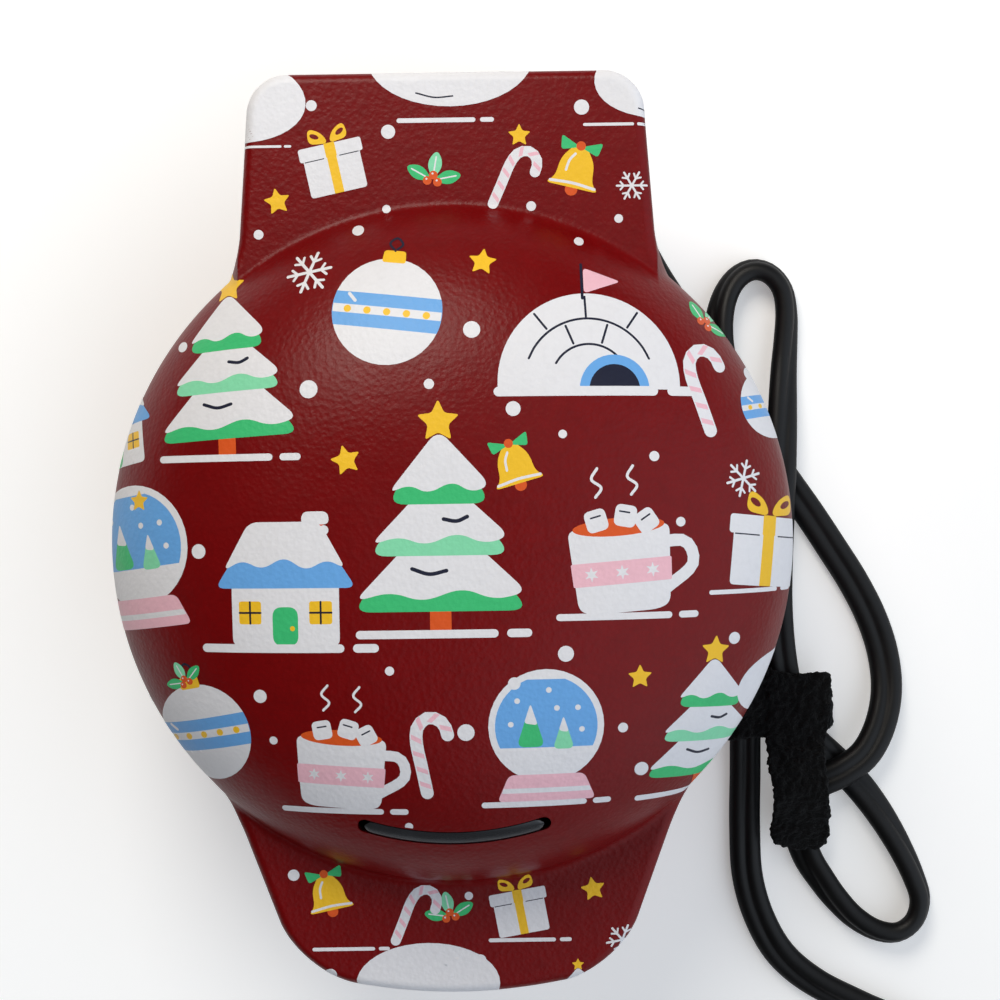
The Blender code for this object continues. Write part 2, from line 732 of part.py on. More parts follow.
def indicator_window(parent, grey):
    """The arc-shaped light pipe, a little below the lid's skin."""
    window = place(arc_bar("indicator_window", WINDOW_WIDTH / 2 - SEAT_GAP), parent, grey, WINDOW_BAR_PLACE)
    combine(window, as_tool(lid_form("window skin", WINDOW_SINK), parent), "INTERSECT")
    combine(window, as_tool(lid_form("window back", WINDOW_DEPTH), parent))


def lid_deck(parent, red):
    """The ring that closes the lid round its plate, with the two lugs that turn on the hinge rod."""
    outline = plan_outline(crossings(body_plan, ANGLES, WALL + SEAT_GAP))
    deck = flat_plate("lid_deck", [outline, circle(DECK_OPENING, WIDE_STEPS)], DECK_THICKNESS)
    place(deck, parent, red, (0, 0, (LID_DECK_UNDERSIDE + LID_DECK_TOP) / 2))
    height = LID_DECK_UNDERSIDE + DECK_THICKNESS / 3 - HINGE_AXIS_HEIGHT
    lug = arc(LUG_RADIUS, -math.pi, 0, 16) + [(LUG_RADIUS, height), (-LUG_RADIUS, height)]
    for x in (-LUG_SPREAD, LUG_SPREAD):
        combine(deck, on_axis("lug", lug, LUG_WIDTH, parent, x), "UNION")
    for x in (-LUG_SPREAD, LUG_SPREAD):
        combine(deck, rod_hole(parent, x, 2 * LUG_WIDTH))
    seat = LID_DECK_UNDERSIDE + DECK_SINK + SCREW_HEAD_HEIGHT + SEAT_GAP
    for x, y in LID_SCREW_PLACES:
        combine(deck, upright("deck hole", SCREW_HOLE, LID_RIM, LID_DECK_TOP + OVERRUN, parent, x, y))
        combine(deck, upright("head recess", HEAD_HOLE, LID_RIM - OVERRUN, seat, parent, x, y))
    for angle in EAR_ANGLES:
        x, y = polar(EAR_CIRCLE, angle)
        combine(deck, upright("ear pilot", SCREW_HOLE, LID_DECK_TOP - PILOT_DEPTH, LID_DECK_TOP + OVERRUN, parent, x, y))
    return seat


# The base's mouldings

def lug_slots(target, parent):
    """The two slots that the lid's lugs swing in, which stop the lid when it is open."""
    for x in (-LUG_SPREAD, LUG_SPREAD):
        front = HINGE_AXIS_Y - LUG_RADIUS - SLOT_GAP
        back = HINGE_REACH
        low = HINGE_AXIS_HEIGHT - SLOT_DEPTH
        top = LID_DECK_TOP
        slot = box("lug slot", (LUG_WIDTH + 2 * LUG_SIDE_GAP, back - front, top - low))
        combine(target, as_tool(slot, parent, (x, (front + back) / 2, (low + top) / 2)))


def base_housing(parent, red):
    """The bowl with its floor, the rear pillar, the front lip, screw wells, vents and foot holes."""
    rings = heel_rings() + base_rings(0, BASE_SIDE_SHARES, True) + base_rings(WALL, BASE_INNER_SHARES)[::-1]
    housing = skinned("base_housing", rings, (0, 0, BASE_UNDERSIDE), (0, 0, BASE_FLOOR))
    place(housing, parent, red)
    clip = as_tool(base_form("base clip", SEAT_GAP), parent)
    shelf = BASE_DECK_UNDERSIDE - POST_REACH - SEAT_GAP
    below = BASE_UNDERSIDE - OVERRUN
    for number, (x, y) in enumerate(BASE_SCREW_PLACES, 1):
        well = upright(f"well {number}", WELL_RADIUS, below, shelf, parent, x, y)
        combine(well, clip, "INTERSECT")
        combine(housing, well, "UNION")
    for number, (x, y) in enumerate(BASE_SCREW_PLACES, 1):
        combine(housing, upright(f"well bore {number}", HEAD_HOLE, below, shelf - WELL_SHELF, parent, x, y))
        combine(housing, upright(f"well hole {number}", SCREW_HOLE, below, shelf + SEAT_GAP, parent, x, y))
    for number, (x, y) in enumerate(FOOT_PLACES, 1):
        hole = FOOT_STEM_RADIUS + RUNNING_GAP
        combine(housing, upright(f"foot hole {number}", hole, below, BASE_FLOOR + OVERRUN, parent, x, y))
    for number in range(VENT_COUNT):
        angle = (number + 1 / 2) * math.tau / VENT_COUNT
        vent = box(f"vent {number + 1}", (VENT_LENGTH, VENT_WIDTH, 2 * OVERRUN))
        place_of = (VENT_CIRCLE * math.cos(angle), VENT_CIRCLE * math.sin(angle), BASE_UNDERSIDE)
        combine(housing, as_tool(vent, parent, place_of, (0, 0, angle)))
    exit_hole = cylinder("cord hole", RELIEF_RADIUS + RUNNING_GAP, 2 * OVERRUN)
    exit_place = (0, PILLAR_REACH, CORD_EXIT_HEIGHT)
    combine(housing, as_tool(exit_hole, parent, exit_place, (math.pi / 2, 0, 0)))
    lug_slots(housing, parent)
    return shelf


def base_deck(parent, red):
    """The ring that closes the base round its plate, with screw posts and the ribs that hold the rod."""
    inset = WALL + SEAT_GAP
    outline = plan_outline(np.minimum(base_reach(BASE_RIM, inset), base_reach(BASE_DECK_UNDERSIDE, inset)))
    deck = flat_plate("base_deck", [outline, circle(DECK_OPENING, WIDE_STEPS)], DECK_THICKNESS)
    place(deck, parent, red, (0, 0, (BASE_DECK_UNDERSIDE + BASE_DECK_TOP) / 2))
    high = BASE_DECK_UNDERSIDE + DECK_THICKNESS / 3
    top = high - HINGE_AXIS_HEIGHT
    rib = [(-RIB_DEPTH, top), (-RIB_DEPTH, -RIB_RADIUS)] + arc(RIB_RADIUS, -math.pi / 2, math.pi / 2, 12) + [(0, top)]
    for side in (-1, 1):
        for step in (-1, 1):
            x = side * (LUG_SPREAD + step * (LUG_WIDTH / 2 + LUG_SIDE_GAP + RIB_WIDTH / 2 - SEAT_GAP))
            combine(deck, on_axis("rib", rib, RIB_WIDTH + 2 * SEAT_GAP, parent, x), "UNION")
    post_foot = BASE_DECK_UNDERSIDE - POST_REACH
    for x, y in BASE_SCREW_PLACES:
        combine(deck, upright("base post", POST_RADIUS, post_foot, high, parent, x, y), "UNION")
    for x, y in BASE_SCREW_PLACES:
        combine(deck, upright("base pilot", SCREW_HOLE, post_foot - OVERRUN, BASE_DECK_UNDERSIDE, parent, x, y))
    for angle in EAR_ANGLES:
        x, y = polar(EAR_CIRCLE, angle)
        top = BASE_DECK_UNDERSIDE + PILOT_DEPTH
        combine(deck, upright("ear pilot", SCREW_HOLE, BASE_DECK_UNDERSIDE - OVERRUN, top, parent, x, y))
    combine(deck, rod_hole(parent, 0, 2 * (LUG_SPREAD + LUG_WIDTH + RIB_WIDTH)))
    lug_slots(deck, parent)


def hinge_rod(parent, steel):
    half = LUG_SPREAD + LUG_WIDTH / 2 + LUG_SIDE_GAP + RIB_WIDTH + ROD_HEAD
    profile = ((0, half), (ROD_RADIUS - ROD_HEAD, half), (ROD_RADIUS, half - ROD_HEAD))
    profile += ((ROD_RADIUS, ROD_HEAD - half), (ROD_RADIUS - ROD_HEAD, -half), (0, -half))
    rod = turned("hinge_rod", profile)
    place(rod, parent, steel, (0, HINGE_AXIS_Y, HINGE_AXIS_HEIGHT), (0, math.pi / 2, 0))


# One half's plate, heater and heat shield, with the cooking side up and the parting plane at zero

def studs(parent):
    """A square grid of tapered studs, cut off by the round edge of the baking field."""
    bm = bmesh.new()
    root = STUD_HEIGHT + PLATE_FLOOR / 2
    grow = (STUD_BASE - STUD_TIP) / STUD_HEIGHT
    base_half = (STUD_TIP + grow * root) / 2
    middle = (STUDS_ACROSS - 1) / 2
    for row in range(STUDS_ACROSS):
        for column in range(STUDS_ACROSS):
            x, y = (column - middle) * STUD_PITCH, (row - middle) * STUD_PITCH
            if math.hypot(x, y) > STUD_LIMIT:
                continue
            made = bmesh.ops.create_cone(
                bm,
                cap_ends=True,
                segments=4,
                radius1=base_half * math.sqrt(2),
                radius2=STUD_TIP / 2 * math.sqrt(2),
                depth=root,
            )
            turn = Matrix.Rotation(math.pi / 4, 4, "Z")
            centre = (x, y, STUD_HEIGHT - PLATE_DEPTH - root / 2)
            bmesh.ops.transform(bm, matrix=Matrix.Translation(centre) @ turn, verts=made["verts"])
    grid = as_tool(mesh_object("stud grid", bm), parent)
    field = cylinder("stud field", STUD_FIELD, 2 * PLATE_BACK, WIDE_STEPS)
    combine(grid, as_tool(field, parent), "INTERSECT")
    return grid


def ear_outline():
    outline = arc(EAR_RADIUS, -math.pi / 2, math.pi / 2, 8, EAR_CIRCLE)
    inner = PLATE_RADIUS - PLATE_RIM / 2
    return outline + [(inner, EAR_RADIUS), (inner, -EAR_RADIUS)]


def cooking_plate(name, parent, coated):
    """A cast dish with its rim, floor, studs and three ears that screw to the deck."""
    floor_radius = PLATE_RADIUS - PLATE_RIM - PLATE_RIM_DRAFT
    profile = (
        (0, -PLATE_DEPTH),
        (floor_radius - PLATE_RIM_DRAFT, -PLATE_DEPTH),
        (floor_radius, -PLATE_DEPTH + PLATE_RIM_DRAFT),
        (PLATE_RADIUS - PLATE_RIM, -PLATE_SINK),
        (PLATE_RADIUS, -PLATE_SINK),
        (PLATE_RADIUS, -PLATE_BACK),
        (0, -PLATE_BACK),
    )
    plate = place(turned(name, profile, WIDE_STEPS), parent, coated)
    combine(plate, studs(parent), "UNION")
    ear_top = -DECK_BACK - SEAT_GAP
    for angle in EAR_ANGLES:
        ear = flat_plate("ear", [ear_outline()], EAR_THICKNESS)
        turn = (0, 0, math.radians(angle))
        combine(plate, as_tool(ear, parent, (0, 0, ear_top - EAR_THICKNESS / 2), turn), "UNION")
    for angle in EAR_ANGLES:
        x, y = polar(EAR_CIRCLE, angle)
        combine(plate, upright("ear hole", SCREW_HOLE, ear_top - 2 * EAR_THICKNESS, ear_top + SEAT_GAP, parent, x, y))
    return ear_top - EAR_THICKNESS - SEAT_GAP


def element_end(side):
    gap = math.radians(ELEMENT_GAP_ANGLE)
    return side * ELEMENT_CIRCLE * math.sin(gap), ELEMENT_END_Y


def heating_element(name, parent, steel):
    """A tubular heater that lies round the plate's back, with both ends turned away from it."""
    level = -PLATE_BACK - SEAT_GAP - ELEMENT_RADIUS
    gap = math.radians(ELEMENT_GAP_ANGLE)
    start, end = math.pi / 2 + gap, math.pi / 2 - gap + math.tau
    points = [(x, y, level) for x, y in arc(ELEMENT_CIRCLE, start, end, 28)]
    bend = ELEMENT_RADIUS
    left, right = element_end(-1), element_end(1)
    inward = [(left[0] + bend, left[1], level - bend / 3), (left[0] + bend * 4 / 3, left[1], level - bend * 4 / 3)]
    drop = (left[0] + bend * 4 / 3, left[1], level - ELEMENT_DROP)
    before = [drop] + inward[::-1]
    after = [(-x, y, z) for x, y, z in inward] + [(-drop[0], drop[1], drop[2])]
    place(tube(name, before + points + after, ELEMENT_RADIUS), parent, steel)
    return drop


def heat_shield(name, parent, tin, terminal):
    """A shallow spun cup over the heater, which stands on the plate's back."""
    top = -PLATE_BACK - SEAT_GAP
    low = top - SHIELD_HEIGHT
    inner = SHIELD_RADIUS - SHIELD_GAUGE
    profile = (
        (0, low + SHIELD_GAUGE),
        (inner - SHIELD_CORNER, low + SHIELD_GAUGE),
        (inner, low + SHIELD_CORNER),
        (inner, top),
        (SHIELD_RADIUS, top),
        (SHIELD_RADIUS, low + SHIELD_CORNER),
        (SHIELD_RADIUS - SHIELD_CORNER, low),
        (0, low),
    )
    shield = place(turned(name, profile, WIDE_STEPS), parent, tin)
    for side in (-1, 1):
        x = side * terminal[0]
        combine(shield, upright("terminal hole", SHIELD_HOLE, low - OVERRUN, low + SHIELD_CORNER, parent, x, terminal[1]))


def cooking_half(label, parent, coated, steel, tin, bright):
    seat = cooking_plate(f"{label}_plate", parent, coated)
    terminal = heating_element(f"{label}_element", parent, steel)
    heat_shield(f"{label}_reflector", parent, tin, terminal)
    for number, angle in enumerate(EAR_ANGLES, 1):
        x, y = polar(EAR_CIRCLE, angle)
        screw(f"{label}_plate_screw_{number}", PLATE_SCREW_LENGTH, parent, bright, (x, y, seat))
    return terminal


# Control pieces

def thermostat(parent, steel):
    """A disc thermostat on the middle of the upper plate's back, with its two tabs."""
    top = -PLATE_BACK - SEAT_GAP
    cap = THERMOSTAT_RADIUS - THERMOSTAT_FLANGE
    profile = (
        (0, top),
        (THERMOSTAT_RADIUS, top),
        (THERMOSTAT_RADIUS, top - THERMOSTAT_FLANGE),
        (cap, top - THERMOSTAT_FLANGE),
        (cap, top - THERMOSTAT_HEIGHT),
        (0, top - THERMOSTAT_HEIGHT),
    )
    body = place(turned("thermostat", profile), parent, steel)
    tab = box("thermostat tabs", (2 * THERMOSTAT_RADIUS + 2 * THERMOSTAT_TAB, THERMOSTAT_TAB, THERMOSTAT_FLANGE))
    tab_height = top - THERMOSTAT_HEIGHT + THERMOSTAT_FLANGE
    combine(body, as_tool(tab, parent, (0, 0, tab_height)), "UNION")


def thermal_fuse(parent, tin):
    """A capsule fuse that lies against the lower plate's back."""
    half, neck = FUSE_LENGTH / 2, FUSE_RADIUS / 2
    profile = ((0, half), (neck, half), (neck, half - neck), (FUSE_RADIUS, half - 2 * neck))
    profile += ((FUSE_RADIUS, -half), (neck, -half - neck), (0, -half - neck))
    level = -PLATE_BACK - SEAT_GAP - FUSE_RADIUS
    place(turned("thermal_fuse", profile, SMALL_STEPS), parent, tin, (0, 0, level), (0, math.pi / 2, 0))


def indicator_lamp(parent, glass, brown):
    """A small lamp that lies in a grooved holder on the lid's deck, below the window."""
    foot = LID_DECK_TOP + SEAT_GAP
    holder = place(box("lamp_holder", (HOLDER_LENGTH, HOLDER_WIDTH, HOLDER_HEIGHT), FOOT_ROUND / 2), parent, brown)
    holder.location = (0, -LAMP_CIRCLE, foot + HOLDER_HEIGHT / 2)
    level = foot + HOLDER_HEIGHT
    combine(holder, sideways("lamp groove", LAMP_RADIUS + SEAT_GAP, 2 * HOLDER_LENGTH, parent, 0, -LAMP_CIRCLE, level))
    half = LAMP_LENGTH / 2
    profile = ((0, half), (LAMP_RADIUS / 2, half - LAMP_RADIUS / 4), (LAMP_RADIUS, half - LAMP_RADIUS))
    profile += ((LAMP_RADIUS, -half), (0, -half))
    lamp = turned("indicator_lamp", profile, SMALL_STEPS)
    place(lamp, parent, glass, (0, -LAMP_CIRCLE, level), (0, math.pi / 2, 0))


def terminal_block(parent, cream):
    height = BASE_FLOOR + SEAT_GAP + TERMINAL_HEIGHT / 2
    block = box("terminal_block", (TERMINAL_LENGTH, TERMINAL_WIDTH, TERMINAL_HEIGHT), TERMINAL_ROUND)
    place(block, parent, cream, (0, TERMINAL_Y, height))
    for x in (-TERMINAL_LENGTH / 6, TERMINAL_LENGTH / 6):
        groove = box("terminal groove", (TERMINAL_GROOVE, 2 * TERMINAL_WIDTH, TERMINAL_GROOVE * 2))
        combine(block, as_tool(groove, parent, (x, TERMINAL_Y, height + TERMINAL_HEIGHT / 2)))
    return height


def leads(parent, cream, height, terminal):
    """Two leads from the block to the heater's ends and two from the cord's end to the block."""
    front = TERMINAL_Y - TERMINAL_WIDTH / 2 - SEAT_GAP
    back = TERMINAL_Y + TERMINAL_WIDTH / 2 + SEAT_GAP
    top = PARTING_HEIGHT + terminal[2] - SEAT_GAP
    supply = RELIEF_START_Y - SEAT_GAP
    for number, side in enumerate((-1, 1), 1):
        x, y = side * abs(terminal[0]), terminal[1]
        turn = min((front - y) / 2, top - height)
        quarter = [step * math.pi / 8 for step in range(5)]
        bend = [(x, y + turn * (1 - math.cos(a)), height + turn * (1 - math.sin(a))) for a in quarter]
        points = [(x, y, top)] + bend + [(x, front, height)]
        place(tube(f"heater_lead_{number}", points, LEAD_RADIUS), parent, cream)
        near, far = side * SUPPLY_SPREAD, side * LEAD_SPREAD
        fade = [(3 * s * s - 2 * s**3, s) for s in (0.0, 0.2, 0.4, 0.6, 0.8, 1.0)]
        rise = height - CORD_EXIT_HEIGHT
        points = [(near + (far - near) * f, supply + (back - supply) * s, CORD_EXIT_HEIGHT + rise * f) for f, s in fade]
        place(tube(f"supply_lead_{number}", points, LEAD_RADIUS), parent, cream)


def rubber_foot(number, parent, rubber, x, y):
    """A push-in foot: its pad below the base, its stem in the hole and its barb above the floor."""
    pad_top = BASE_UNDERSIDE - SEAT_GAP
    barb = BASE_FLOOR + SEAT_GAP
    profile = (
        (0, barb + FOOT_BARB_HEIGHT),
        (FOOT_STEM_RADIUS - FOOT_ROUND, barb + FOOT_BARB_HEIGHT),
        (FOOT_BARB_RADIUS, barb),
        (FOOT_STEM_RADIUS, barb),
        (FOOT_STEM_RADIUS, pad_top),
        (FOOT_RADIUS, pad_top),
        (FOOT_RADIUS - FOOT_ROUND / 2, FOOT_ROUND),
        (FOOT_RADIUS - FOOT_ROUND, 0),
        (0, 0),
    )
    place(turned(f"foot_{number}", profile, SMALL_STEPS), parent, rubber, (x, y, 0))


# Cord, strain relief, tie and plug

def strain_relief(parent, black):
    """A tapered boot with flex grooves, held by its collar behind the base's rear wall."""
    length = RELIEF_END_Y - RELIEF_START_Y
    profile = [(0, length)]
    slope = (RELIEF_END_RADIUS - RELIEF_RADIUS) / length
    profile.append((RELIEF_END_RADIUS - RELIEF_GROOVE, length))
    pitch = (length - RELIEF_NECK) / (RELIEF_GROOVES + 1)
    for number in range(RELIEF_GROOVES):
        middle = length - (number + 1) * pitch
        for offset, depth in ((pitch / 4, 0), (pitch / 8, RELIEF_GROOVE), (-pitch / 8, RELIEF_GROOVE), (-pitch / 4, 0)):
            height = middle + offset
            profile.append((RELIEF_RADIUS + slope * height - depth, height))
    profile += [
        (RELIEF_RADIUS, RELIEF_COLLAR),
        (RELIEF_COLLAR_RADIUS, RELIEF_COLLAR),
        (RELIEF_COLLAR_RADIUS, 0),
        (0, 0),
    ]
    boot = turned("strain_relief", profile, SMALL_STEPS)
    place(boot, parent, black, (0, RELIEF_START_Y, CORD_EXIT_HEIGHT), (-math.pi / 2, 0, 0))


def smooth_route(places, step):
    """Points an even step apart on a smooth curve through the places."""
    places = np.array(places)
    knots = np.vstack([2 * places[0] - places[1], places, 2 * places[-1] - places[-2]])
    shares = np.linspace(0, 1, 16, endpoint=False)[:, None]
    fine = []
    for before, start, end, after in zip(knots, knots[1:], knots[2:], knots[3:]):
        curve = 2 * start + (end - before) * shares
        curve = curve + (2 * before - 5 * start + 4 * end - after) * shares**2
        curve = curve + (3 * start - before - 3 * end + after) * shares**3
        fine.append(curve / 2)
    fine = np.vstack(fine + [places[-1:]])
    run = np.concatenate([[0], np.cumsum(np.linalg.norm(np.diff(fine, axis=0), axis=1))])
    count = max(2, round(run[-1] / step))
    wanted = np.linspace(0, run[-1], count + 1)
    return np.column_stack([np.interp(wanted, run, fine[:, axis]) for axis in range(3)]), run[-1]


def least_gap(points, diameter, apart):
    """The least clearance between stretches of a tube that are more than a run of apart from each other."""
    run = np.concatenate([[0], np.cumsum(np.linalg.norm(np.diff(points, axis=0), axis=1))])
    distance = np.linalg.norm(points[:, None] - points[None], axis=2)
    distance[np.abs(run[:, None] - run[None]) < apart] = np.inf
    return distance.min() - diameter


# The cord's route about the dome's axis, from the strain relief to the plug: round the base's right side,
# out to the right, under the tie's tail, round the lower fold, up through the tie, round the upper fold and
# back through the tie, then off to the plug
CORD_ROUTE = (
    (0.0008, 0.0906, 0.0130),
    (0.0045, 0.0936, 0.0112),
    (0.0105, 0.0948, 0.0084),
    (0.0185, 0.0938, 0.0055),
    (0.0258, 0.0898, 0.0034),
    (0.0312, 0.0827, 0.0026),
    (0.0345, 0.0739, 0.0026),
    (0.0372, 0.0647, 0.0026),
    (0.0413, 0.0564, 0.0026),
    (0.0465, 0.0484, 0.0026),
    (0.0523, 0.0398, 0.0026),
    (0.0580, 0.0307, 0.0026),
    (0.0638, 0.0214, 0.0026),
    (0.0695, 0.0132, 0.0026),
    (0.0750, 0.0057, 0.0026),
    (0.0800, -0.0016, 0.0026),
    (0.0848, -0.0090, 0.0026),
    (0.0888, -0.0165, 0.0026),
    (0.0913, -0.0240, 0.0027),
    (0.0920, -0.0316, 0.0036),
    (0.0906, -0.0390, 0.0058),
    (0.0872, -0.0452, 0.0078),
    (0.0822, -0.0492, 0.0083),
    (0.0775, -0.0516, 0.0068),
    (0.0745, -0.0550, 0.0044),
    (0.0734, -0.0594, 0.0029),
    (0.0737, -0.0640, 0.0026),
    (0.0752, -0.0686, 0.0026),
    (0.0778, -0.0730, 0.0026),
    (0.0812, -0.0776, 0.0026),
    (0.0854, -0.0818, 0.0026),
    (0.0902, -0.0847, 0.0026),
    (0.0950, -0.0852, 0.0026),
    (0.0986, -0.0823, 0.0026),
    (0.0998, -0.0773, 0.0026),
    (0.0984, -0.0716, 0.0026),
    (0.0956, -0.0656, 0.0026),
    (0.0920, -0.0596, 0.0026),
    (0.0882, -0.0544, 0.0026),
    (0.0845, -0.0502, 0.0026),
    (0.0808, -0.0467, 0.0031),
    (0.0772, -0.0435, 0.0038),
    (0.0740, -0.0398, 0.0042),
    (0.0717, -0.0350, 0.0043),
    (0.0700, -0.0290, 0.0043),
    (0.0689, -0.0218, 0.0044),
    (0.0683, -0.0138, 0.0048),
    (0.0681, -0.0058, 0.0054),
    (0.0682, 0.0022, 0.0066),
    (0.0685, 0.0092, 0.0081),
    (0.0688, 0.0152, 0.0086),
    (0.0691, 0.0212, 0.0080),
    (0.0694, 0.0277, 0.0060),
    (0.0699, 0.0347, 0.0038),
    (0.0704, 0.0417, 0.0028),
    (0.0706, 0.0484, 0.0026),
    (0.0696, 0.0536, 0.0026),
    (0.0670, 0.0569, 0.0026),
    (0.0635, 0.0579, 0.0026),
    (0.0601, 0.0565, 0.0028),
    (0.0575, 0.0530, 0.0036),
    (0.0558, 0.0480, 0.0054),
    (0.0552, 0.0422, 0.0077),
    (0.0555, 0.0362, 0.0086),
    (0.0565, 0.0297, 0.0086),
    (0.0576, 0.0232, 0.0078),
    (0.0588, 0.0152, 0.0060),
    (0.0598, 0.0062, 0.0048),
    (0.0606, -0.0038, 0.0044),
    (0.0613, -0.0138, 0.0043),
    (0.0618, -0.0238, 0.0043),
    (0.0620, -0.0338, 0.0043),
    (0.0621, -0.0428, 0.0039),
    (0.0621, -0.0508, 0.0028),
    (0.0621, -0.0618, 0.0026),
    (0.0628, -0.0723, 0.0026),
    (0.0656, -0.0812, 0.0026),
    (0.0701, -0.0889, 0.0026),
    (0.0771, -0.0948, 0.0026),
    (0.0860, -0.0997, 0.0026),
    (0.0955, -0.1046, 0.0026),
    (0.1040, -0.1113, 0.0026),
    (0.1088, -0.1203, 0.0026),
    (0.1082, -0.1306, 0.0027),
    (0.1020, -0.1392, 0.0034),
    (0.0930, -0.1441, 0.0048),
    (0.0850, -0.1457, 0.0061),
    (0.0790, -0.1458, 0.00635),
)


def power_cord(parent, black):
    start = (0, RELIEF_END_Y + SEAT_GAP, CORD_EXIT_HEIGHT)
    route = [(0, start[1] + CORD_START_RUN, CORD_EXIT_HEIGHT)] + list(CORD_ROUTE)
    points, length = smooth_route(route, CORD_POINT_STEP)
    points = [start] + [tuple(map(float, point)) for point in points]
    place(tube("power_cord", points, CORD_DIAMETER / 2, 1), parent, black)
    fine, _ = smooth_route(route, CORD_DIAMETER / 5)
    gap = least_gap(fine, CORD_DIAMETER, 3 * CORD_DIAMETER)
    print(f"Cord length {length + CORD_START_RUN:.4f} m, least gap to itself {gap:.5f} m")


def cord_tie(parent, fabric):
    """A strap round both runs of the folded cord, with its end laid down over the lower fold."""
    width, depth = TIE_RIGHT - TIE_LEFT, TIE_TOP_Y - TIE_BOTTOM_Y
    half_width, half_height = width / 2, TIE_HEIGHT / 2
    outer = rounded_outline(half_width, half_height, TIE_ROUND)
    inner = rounded_outline(half_width - TIE_THICKNESS, half_height - TIE_THICKNESS, TIE_ROUND - TIE_THICKNESS)
    strap = flat_plate("cord_tie", [outer, inner], depth)
    middle = ((TIE_LEFT + TIE_RIGHT) / 2, (TIE_TOP_Y + TIE_BOTTOM_Y) / 2, half_height)
    place(strap, parent, fabric, middle, (math.pi / 2, 0, 0))
    route = [(TIE_TOP_Y - TIE_ROUND, TIE_HEIGHT - TAIL_SINK), (TIE_BOTTOM_Y, TIE_HEIGHT - TAIL_SINK)]
    route += [(TIE_BOTTOM_Y - step, TIE_HEIGHT + rise) for step, rise in zip(TAIL_STEPS, TAIL_RISES)]
    outline = []
    for side in (1, -1):
        outline += [(y, z + side * TIE_THICKNESS / 2) for y, z in route][::side]
    tail = as_tool(flat_plate("tie tail", [outline], TIE_RIGHT - TAIL_LEFT - TIE_ROUND / 2), parent)
    tail.location = ((TAIL_LEFT + TIE_RIGHT - TIE_ROUND / 2) / 2, 0, 0)
    tail.rotation_euler = (math.pi / 2, 0, math.pi / 2)
    combine(strap, tail, "UNION")


def rounded_outline(half_width, half_height, radius):
    outline = []
    for quarter in range(4):
        sign_x = 1 if quarter in (0, 3) else -1
        sign_y = 1 if quarter < 2 else -1
        for step in range(4):
            angle = (quarter + step / 3) * math.pi / 2
            x = sign_x * (half_width - radius) + radius * math.cos(angle)
            outline.append((x, sign_y * (half_height - radius) + radius * math.sin(angle)))
    return outline


def plug(parent, black, brass):
    """A moulded two-blade plug lying flat, its blades pointing left."""
    rings = []
    sections = list(zip(PLUG_SECTION_PLACES, PLUG_SECTION_WIDTHS, PLUG_SECTION_HEIGHTS))
    sections.append((PLUG_LENGTH, PLUG_FACE_WIDTH, PLUG_FACE_HEIGHT))
    for along, width, height in sections:
        rings.append([(-along, y, z) for y, z in rounded_outline(width / 2, height / 2, PLUG_ROUND_SHARE * height / 2)])
    body = skinned("plug_body", rings, (0, 0, 0), (-PLUG_LENGTH, 0, 0))
    place(body, parent, black, (PLUG_X, PLUG_Y, PLUG_HEIGHT))
    for number, side in enumerate((-1, 1), 1):
        blade = box(f"plug_blade_{number}", (BLADE_LENGTH, BLADE_THICKNESS, BLADE_WIDTH), BLADE_TIP_ROUND)
        x = PLUG_X - PLUG_LENGTH - SEAT_GAP - BLADE_LENGTH / 2
        place(blade, parent, brass, (x, PLUG_Y + side * BLADE_SPACING / 2, PLUG_HEIGHT))
        hole = cylinder("blade hole", BLADE_HOLE_RADIUS, BLADE_LENGTH, SMALL_STEPS)
        hole_x = x - BLADE_LENGTH / 2 + BLADE_HOLE_INSET
        combine(blade, as_tool(hole, parent, (hole_x, PLUG_Y, PLUG_HEIGHT), (math.pi / 2, 0, 0)))


# The whole object

